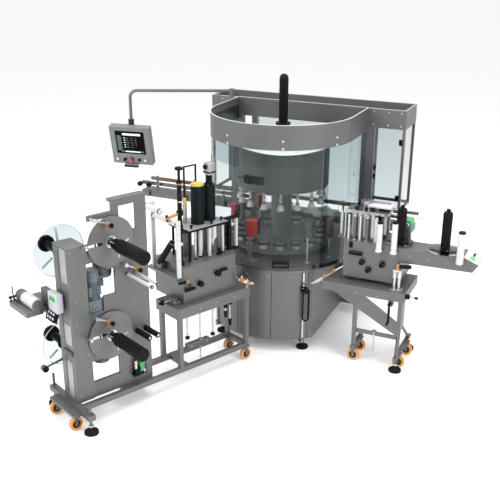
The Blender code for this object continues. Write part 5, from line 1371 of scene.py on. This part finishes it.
def buildSpindle(spindle):
    # Height screw with its brass nut, and the guide rods and cross bar where it has them.
    work = Piece(spindle["place"])
    x, y = spindle["spot"]
    nut, top = spindle["nut"], spindle["top"]
    work.rod((x, y, spindle["low"]), (x, y, top), 0.0075, 1, 18)
    work.turned((x, y, nut - 0.002), (x, y, 9), [(0, 0.012), (0.001, 0.024), (0.009, 0.024), (0.01, 0.016),
        (0.015, 0.015), (0.016, 0.0075)], 0, 24)
    work.rod((x, y, spindle["low"] - 0.008), (x, y, spindle["low"] + 0.002), 0.011, 1, 18)
    for rx, ry, low in spindle["rods"]:
        work.rod((rx, ry, low), (rx, ry, top), 0.0095, 1, 18)
        work.turned((rx, ry, low - 0.034), (rx, ry, 9),
            [(0, 0), (0, 0.014), (0.006, 0.022), (0.026, 0.022), (0.034, 0.012)], 2, 20)
        work.rod((rx, ry, top - 0.02), (rx, ry, top), 0.02, 2, 20)
    if spindle["rods"]:
        work.block((x - 0.165, y - 0.024, nut - 0.055), (x + 0.095, y + 0.024, nut), 3, 0.003)
        work.block((x - 0.06, y - 0.03, top - 0.012), (x + 0.06, y + 0.03, top), 3, 0.003)
        work.screw((x - 0.12, y - 0.024, nut - 0.028), (0, -1, 0), 1, 0.007)
        work.screw((x + 0.06, y - 0.024, nut - 0.028), (0, -1, 0), 1, 0.007)
    work.done(spindle["name"], [brass, brightSteel, blackCoat, plateSteel], "machine")


dockLevers = ((1.64, 0.25, 0.6, 0.48), (1.735, 0.3, 0.59, 0.35))


def buildDockLevers():
    # Black locking levers that hang under the trolley's table.
    work = Piece(leftFrame)
    for u, w, high, low in dockLevers:
        work.rod((u, w, low), (u, w, tableUnder), 0.007, 1, 16)
        work.rod((u, w, high - 0.03), (u, w, high + 0.03), 0.021, 0, 20)
        work.turned((u, w, low - 0.012), (u, w, 9),
            [(0, 0), (0, 0.012), (0.004, 0.015), (0.06, 0.018), (0.068, 0.009)], 0, 20)
    work.done("dockLevers", [blackCoat, brightSteel], "machine")


for spindle in spindles:
    buildSpindle(spindle)
buildDockLevers()
for roller in webRollers:
    buildWebRollerCaps(roller)
buildShelfSlide()
buildHeadRollers()
buildMotors()
buildHeadFittings()
buildWebPosts()
buildBodyKnobs()
buildDockClamps()
print("left label head dressed")

# Right unit: clamp stand, shaft ends, clear discs, drive, guide rods and arm end
rightDeck = 1.2005
armDeck = 1.1515
armLine = -0.475
rightRollers = [{"x": 0.747, "y": -0.3, "radius": 0.015, "paint": 1},
    {"x": 0.793, "y": -0.335, "radius": 0.012, "paint": 2},
    {"x": 0.845, "y": -0.395, "radius": 0.014, "paint": 2},
    {"x": 0.9, "y": -0.385, "radius": 0.017, "paint": 3},
    {"x": 0.955, "y": -0.395, "radius": 0.015, "paint": 2},
    {"x": 1.02, "y": -0.39, "radius": 0.02, "paint": 3},
    {"x": 1.105, "y": -0.385, "radius": 0.017, "paint": 1}]


def buildRightFittings():
    work = Piece()
    for roller in rightRollers:
        addStandRoller(work, roller["x"], roller["y"], rightDeck, 1.445, roller["radius"], roller["paint"])
    work.block((0.722, -0.36, 1.193), (0.86, -0.272, 1.201), 3, 0.002)
    work.block((1.085, -0.25, 1.33), (1.175, -0.16, 1.505), 0, 0.005)
    work.block((1.1, -0.24, 1.1995), (1.16, -0.17, 1.332), 3, 0.004)
    work.block((0.985, -0.3, 1.505), (1.215, -0.15, 1.528), 1, 0.006)
    for x, y in ((0.9, -0.34), (0.99, -0.34), (1.05, -0.33), (0.88, -0.19)):
        work.turned((x, y, 1.475), (x, y, 3), [(0, 0.01), (0.02, 0.01), (0.021, 0.02), (0.036, 0.019),
            (0.04, 0.012), (0.04, 0)], 0, 20)
    work.rod((1.36, -0.12, 1.365), (1.36, -0.22, 1.365), 0.042, 4, 32)
    work.rod((1.36, -0.219, 1.365), (1.36, -0.25, 1.365), 0.02, 2, 20)
    work.block((1.335, -0.19, 1.1985), (1.385, -0.14, 1.33), 3, 0.004)
    for z0, z1, x0, x1 in ((1.476, 1.463, 1.13, 1.459), (1.422, 1.398, 1.13, 1.471)):
        work.rod((x0, -0.17, z0), (x1, -0.1, z1), 0.006, 1, 12)
    for x in (1.335, 1.378):
        work.rod((x, -0.478, 0.7995), (x, -0.478, 0.99), 0.0135, 2, 20)
        work.rod((x, -0.478, 0.92), (x, -0.478, 0.985), 0.018, 1, 20)
    work.block((1.318, -0.502, 0.986), (1.396, -0.454, 1.006), 2, 0.003)
    work.rod((1.357, -0.48, 1.004), (1.357, -0.48, 1.055), 0.019, 5, 10)
    work.rod((1.376, -0.48, 1.036), (1.482, -0.48, 1.048), 0.0185, 0, 20)
    work.block((1.3, -0.512, 0.7995), (1.412, -0.44, 0.808), 2, 0.003)
    work.rod((1.459, -0.52, 0.768), (1.5, -0.52, 0.768), 0.024, 0, 24)
    work.rod((1.499, -0.52, 0.768), (1.56, -0.52, 0.768), 0.007, 2, 14)
    work.rod((1.545, -0.52, 0.768), (1.575, -0.52, 0.768), 0.012, 0, 16)
    place = cellFrame @ Matrix.Translation((2.0, 0, 1.1724)) @ Matrix.Rotation(math.radians(21.1), 4, 'Y')
    work.block((-0.072, -0.434, -0.001), (0.072, -0.205, 0.0045), 1, 0.002, place=place)
    work.block((-0.022, -0.395, 0.003), (0.02, -0.33, 0.008), 6, 0.0015, place=place)
    for y in (-0.3, -0.27, -0.24):
        work.rod((0, y, 0.003), (0, y, 0.011), 0.009, 0, 16, place=place)
    for x in (1.45, 1.62, 1.8):
        work.screw((x, -0.439, 1.13), (0, -1, 0), 2, 0.005)
    for x in (0.85, 1.0, 1.2, 1.34):
        work.screw((x, -0.44, 0.865), (0, -1, 0), 2, 0.005)
        work.screw((x, -0.56, 0.735), (0, -1, 0), 2, 0.005)
    work.done("rightFittings", [blackCoat, whiteSleeve, brightSteel, satinSteel, greenPaint, brass,
        greenScreen], "machine")


rightShafts = [{"body": "right_mandrel", "x": 1.745, "y": -0.34, "radius": 0.04, "top": 1.575,
    "disc": 0.165}, {"body": "right_reel", "x": 1.32, "y": -0.3, "radius": 0.042, "top": 1.54,
    "disc": 0.128}]


def buildRightShaft(shaft):
    # Expanding shaft over a clear carrier disc: bars, capped top, threaded stem.
    x, y, r, top = shaft["x"], shaft["y"], shaft["radius"], shaft["top"]
    work = Piece()
    low = rightDeck
    work.turned((x, y, low), (x, y, 9), [(0, r + 0.02), (0.0015, r + 0.022), (0.01, r + 0.022),
        (0.012, r + 0.0012), (top - low - 0.01, r + 0.0012), (top - low + 0.0006, r - 0.006),
        (top - low + 0.0006, 0.012), (top - low + 0.012, 0.012), (top - low + 0.014, 0.019),
        (top - low + 0.026, 0.018), (top - low + 0.03, 0)], 0, 40)
    for i in range(6):
        turn = 2 * math.pi * i / 6
        a, b = x + (r - 0.002) * math.cos(turn), y + (r - 0.002) * math.sin(turn)
        work.rod((a, b, low + 0.03), (a, b, top - 0.015), 0.0055, 0, 10)
    work.turned((x, y, low), (x, y, 9), [(0.0125, r + 0.0015), (0.0125, shaft["disc"] - 0.002),
        (0.0135, shaft["disc"]), (0.0165, shaft["disc"]), (0.0175, shaft["disc"] - 0.002),
        (0.0175, r + 0.0015)], 1, 64, hollow=True)
    work.done(shaft["body"] + "Detail", [blackCoat, discGlass], shaft["body"])


armRollers = [{"body": "arm_roller_1", "x": 1.165, "top": 1.435, "radius": 0.0268},
    {"body": "arm_roller_2", "x": 1.305, "top": 1.455, "radius": 0.0268},
    {"body": "arm_roller_3", "x": 1.905, "top": 1.45, "radius": 0.0322}]


def buildArmRoller(roller):
    x, y, top, r = roller["x"], armLine, roller["top"], roller["radius"]
    tall = top - armDeck
    work = Piece()
    work.turned((x, y, armDeck), (x, y, 9), [(0, 0.0342), (0.004, 0.0344), (0.012, 0.0344),
        (0.015, r + 0.0015), (0.018, r), (tall - 0.016, r), (tall - 0.014, r - 0.0012)], 0, 32)
    work.turned((x, y, top - 0.012), (x, y, 9), [(0, r - 0.0004), (0.0115, r - 0.0004), (0.015, r - 0.003),
        (0.015, 0.01), (0.0135, 0.009), (0.0135, 0)], 1, 32)
    work.done(roller["body"] + "Sleeve", [whiteSleeve, blackCoat], roller["body"])


buildRightFittings()
for shaft in rightShafts:
    buildRightShaft(shaft)
for roller in armRollers:
    buildArmRoller(roller)
print("right unit dressed")

# Conveyor: flat-top chain, guide strips, knobs; gantry: latches and hinge pins
chain = {"first": -2.048, "last": 1.218, "pitch": 0.0385, "top": 1.05, "front": 0.628, "back": 0.792}


def buildChain():
    work = Piece()
    count = int((chain["last"] - chain["first"]) / chain["pitch"])
    front, back, top = chain["front"], chain["back"], chain["top"]
    for i in range(count):
        x = chain["first"] + i * chain["pitch"]
        wide = chain["pitch"] - 0.0022
        verts = [(x, front, top - 0.001), (x + wide, front, top - 0.001), (x + wide, back, top - 0.001),
            (x, back, top - 0.001), (x, front + 0.001, top + 0.0032),
            (x + wide, front + 0.001, top + 0.0032), (x + wide, back - 0.001, top + 0.0032),
            (x, back - 0.001, top + 0.0032)]
        work.shape(verts, [(3, 2, 1, 0), (4, 5, 6, 7), (0, 1, 5, 4), (1, 2, 6, 5), (2, 3, 7, 6),
            (3, 0, 4, 7)], 0)
    for x0, x1 in ((-2.03, -0.52), (0.52, 1.24)):
        work.block((x0, 0.6075, 1.128), (x1, 0.6165, 1.172), 1, 0.002)
    work.block((-2.03, 0.8035, 1.128), (1.24, 0.8125, 1.172), 1, 0.002)
    for x in (-2.02, -1.9):
        work.turned((x, 0.5535, 1.15), (x, 0, 1.15),
            [(0, 0.012), (0.001, 0.028), (0.036, 0.0285), (0.042, 0.022), (0.042, 0)], 2, 28)
    for x in (-1.75, -1.35, -0.95, -0.62):
        work.turned((x, 0.586, 1.165), (x, 0, 1.165),
            [(0, 0.008), (0.018, 0.008), (0.019, 0.014), (0.032, 0.013), (0.032, 0)], 2, 16)
    work.done("chainAndGuides", [plateSteel, brownStrip, blackCoat], "machine")


latches = {"x": (0.8095, 0.8325), "y": (0.4655, 0.4995), "z": (1.57, 1.66), "pinX": 1.0814, "pinY": 0.4865}


def buildLatches():
    work = Piece()
    (x0, x1), (y0, y1) = latches["x"], latches["y"]
    for z in latches["z"]:
        work.block((x0, y0, z - 0.001), (x1, y1, z + 0.051), 0, 0.004)
    for z in (1.3506, 1.9294):
        work.turned((latches["pinX"], latches["pinY"], z - 0.003), (latches["pinX"], latches["pinY"], 9),
            [(0, 0.004), (0.001, 0.0058), (0.065, 0.0058), (0.066, 0.004)], 0, 20)
        work.block((1.0505, 0.492, z + 0.001), (1.0795, 0.4985, z + 0.059), 0, 0.002)
        for dz in (0.014, 0.046):
            work.screw((1.062, 0.492, z + dz), (0, -1, 0), 1, 0.004)
    work.done("windowLatches", [blackCoat, brightSteel], "gantry_window")


buildChain()
buildLatches()
print("conveyor and gantry dressed")

# Stage, light and camera
stageLook = {"floorSize": 60.0, "floorColour": (0.9, 0.9, 0.9), "floorGlow": 0.13, "worldLight": 0.95}


def buildStage():
    work = bmesh.new()
    bmesh.ops.create_grid(work, x_segments=1, y_segments=1, size=stageLook["floorSize"])
    mesh = bpy.data.meshes.new("floor")
    work.to_mesh(mesh)
    work.free()
    floor = bpy.data.objects.new("floor", mesh)
    bpy.context.scene.collection.objects.link(floor)
    floor.location = (0.0, 0.0, -0.0005)
    paint = bpy.data.materials.new("paleFloor")
    paint.use_nodes = True
    shader = paint.node_tree.nodes['Principled BSDF']
    shader.inputs['Base Color'].default_value = (*stageLook["floorColour"], 1.0)
    shader.inputs['Roughness'].default_value = 0.3
    shader.inputs['Emission Color'].default_value = (1.0, 1.0, 1.0, 1.0)
    shader.inputs['Emission Strength'].default_value = stageLook["floorGlow"]
    mesh.materials.append(paint)
    world = bpy.data.worlds.new("studio")
    bpy.context.scene.world = world
    world.use_nodes = True
    tree = world.node_tree
    sky = tree.nodes['Background']
    coords = tree.nodes.new('ShaderNodeTexCoord')
    parts = tree.nodes.new('ShaderNodeSeparateXYZ')
    ramp = tree.nodes.new('ShaderNodeValToRGB')
    tree.links.new(coords.outputs['Generated'], parts.inputs[0])
    tree.links.new(parts.outputs['Z'], ramp.inputs[0])
    ramp.color_ramp.elements[0].position = 0.0
    ramp.color_ramp.elements[0].color = (0.92, 0.92, 0.92, 1.0)
    ramp.color_ramp.elements[1].position = 1.0
    ramp.color_ramp.elements[1].color = (1.0, 1.0, 1.0, 1.0)
    middle = ramp.color_ramp.elements.new(0.35)
    middle.color = (0.86, 0.86, 0.86, 1.0)
    tree.links.new(ramp.outputs[0], sky.inputs['Color'])
    sky.inputs['Strength'].default_value = stageLook["worldLight"]


lamps = [{"name": "keySoftbox", "place": (-4.5, -5.5, 6.0), "aim": (0.0, 0.0, 1.0), "size": 3.5,
    "power": 420}, {"name": "topSoftbox", "place": (0.5, 0.5, 7.5), "aim": (0.0, 0.4, 0.5), "size": 5.0,
    "power": 430}, {"name": "sideSoftbox", "place": (6.0, -2.0, 4.0), "aim": (0.5, 0.0, 1.0), "size": 3.0,
    "power": 200}]


def buildLamps():
    for lamp in lamps:
        data = bpy.data.lights.new(lamp["name"], 'AREA')
        data.shape = 'SQUARE'
        data.size = lamp["size"]
        data.energy = lamp["power"]
        light = bpy.data.objects.new(lamp["name"], data)
        bpy.context.scene.collection.objects.link(light)
        light.location = lamp["place"]
        aim = Vector(lamp["aim"]) - Vector(lamp["place"])
        light.rotation_euler = aim.to_track_quat('-Z', 'Y').to_euler()


cameraSetup = {"place": (2.915, -6.435, 3.8), "ahead": (-0.408, 0.913), "pitch": 20.75, "roll": 0.35,
    "lens": 58.01}


def buildCamera():
    pitch = math.radians(cameraSetup["pitch"])
    roll = math.radians(cameraSetup["roll"])
    across, along = cameraSetup["ahead"]
    look = Vector((across * math.cos(pitch), along * math.cos(pitch), -math.sin(pitch))).normalized()
    right = look.cross(Vector((0, 0, 1))).normalized()
    up = right.cross(look)
    right, up = right * math.cos(roll) + up * math.sin(roll), up * math.cos(roll) - right * math.sin(roll)
    data = bpy.data.cameras.new("photoCamera")
    data.lens = cameraSetup["lens"]
    data.sensor_width = 36.0
    camera = bpy.data.objects.new("photoCamera", data)
    bpy.context.scene.collection.objects.link(camera)
    turn = Matrix((right, up, -look)).transposed()
    camera.matrix_world = Matrix.Translation(cameraSetup["place"]) @ turn.to_4x4()
    bpy.context.scene.camera = camera


buildStage()
buildLamps()
buildCamera()
bpy.context.scene.view_settings.view_transform = 'Standard'
print("stage, light and camera ready")
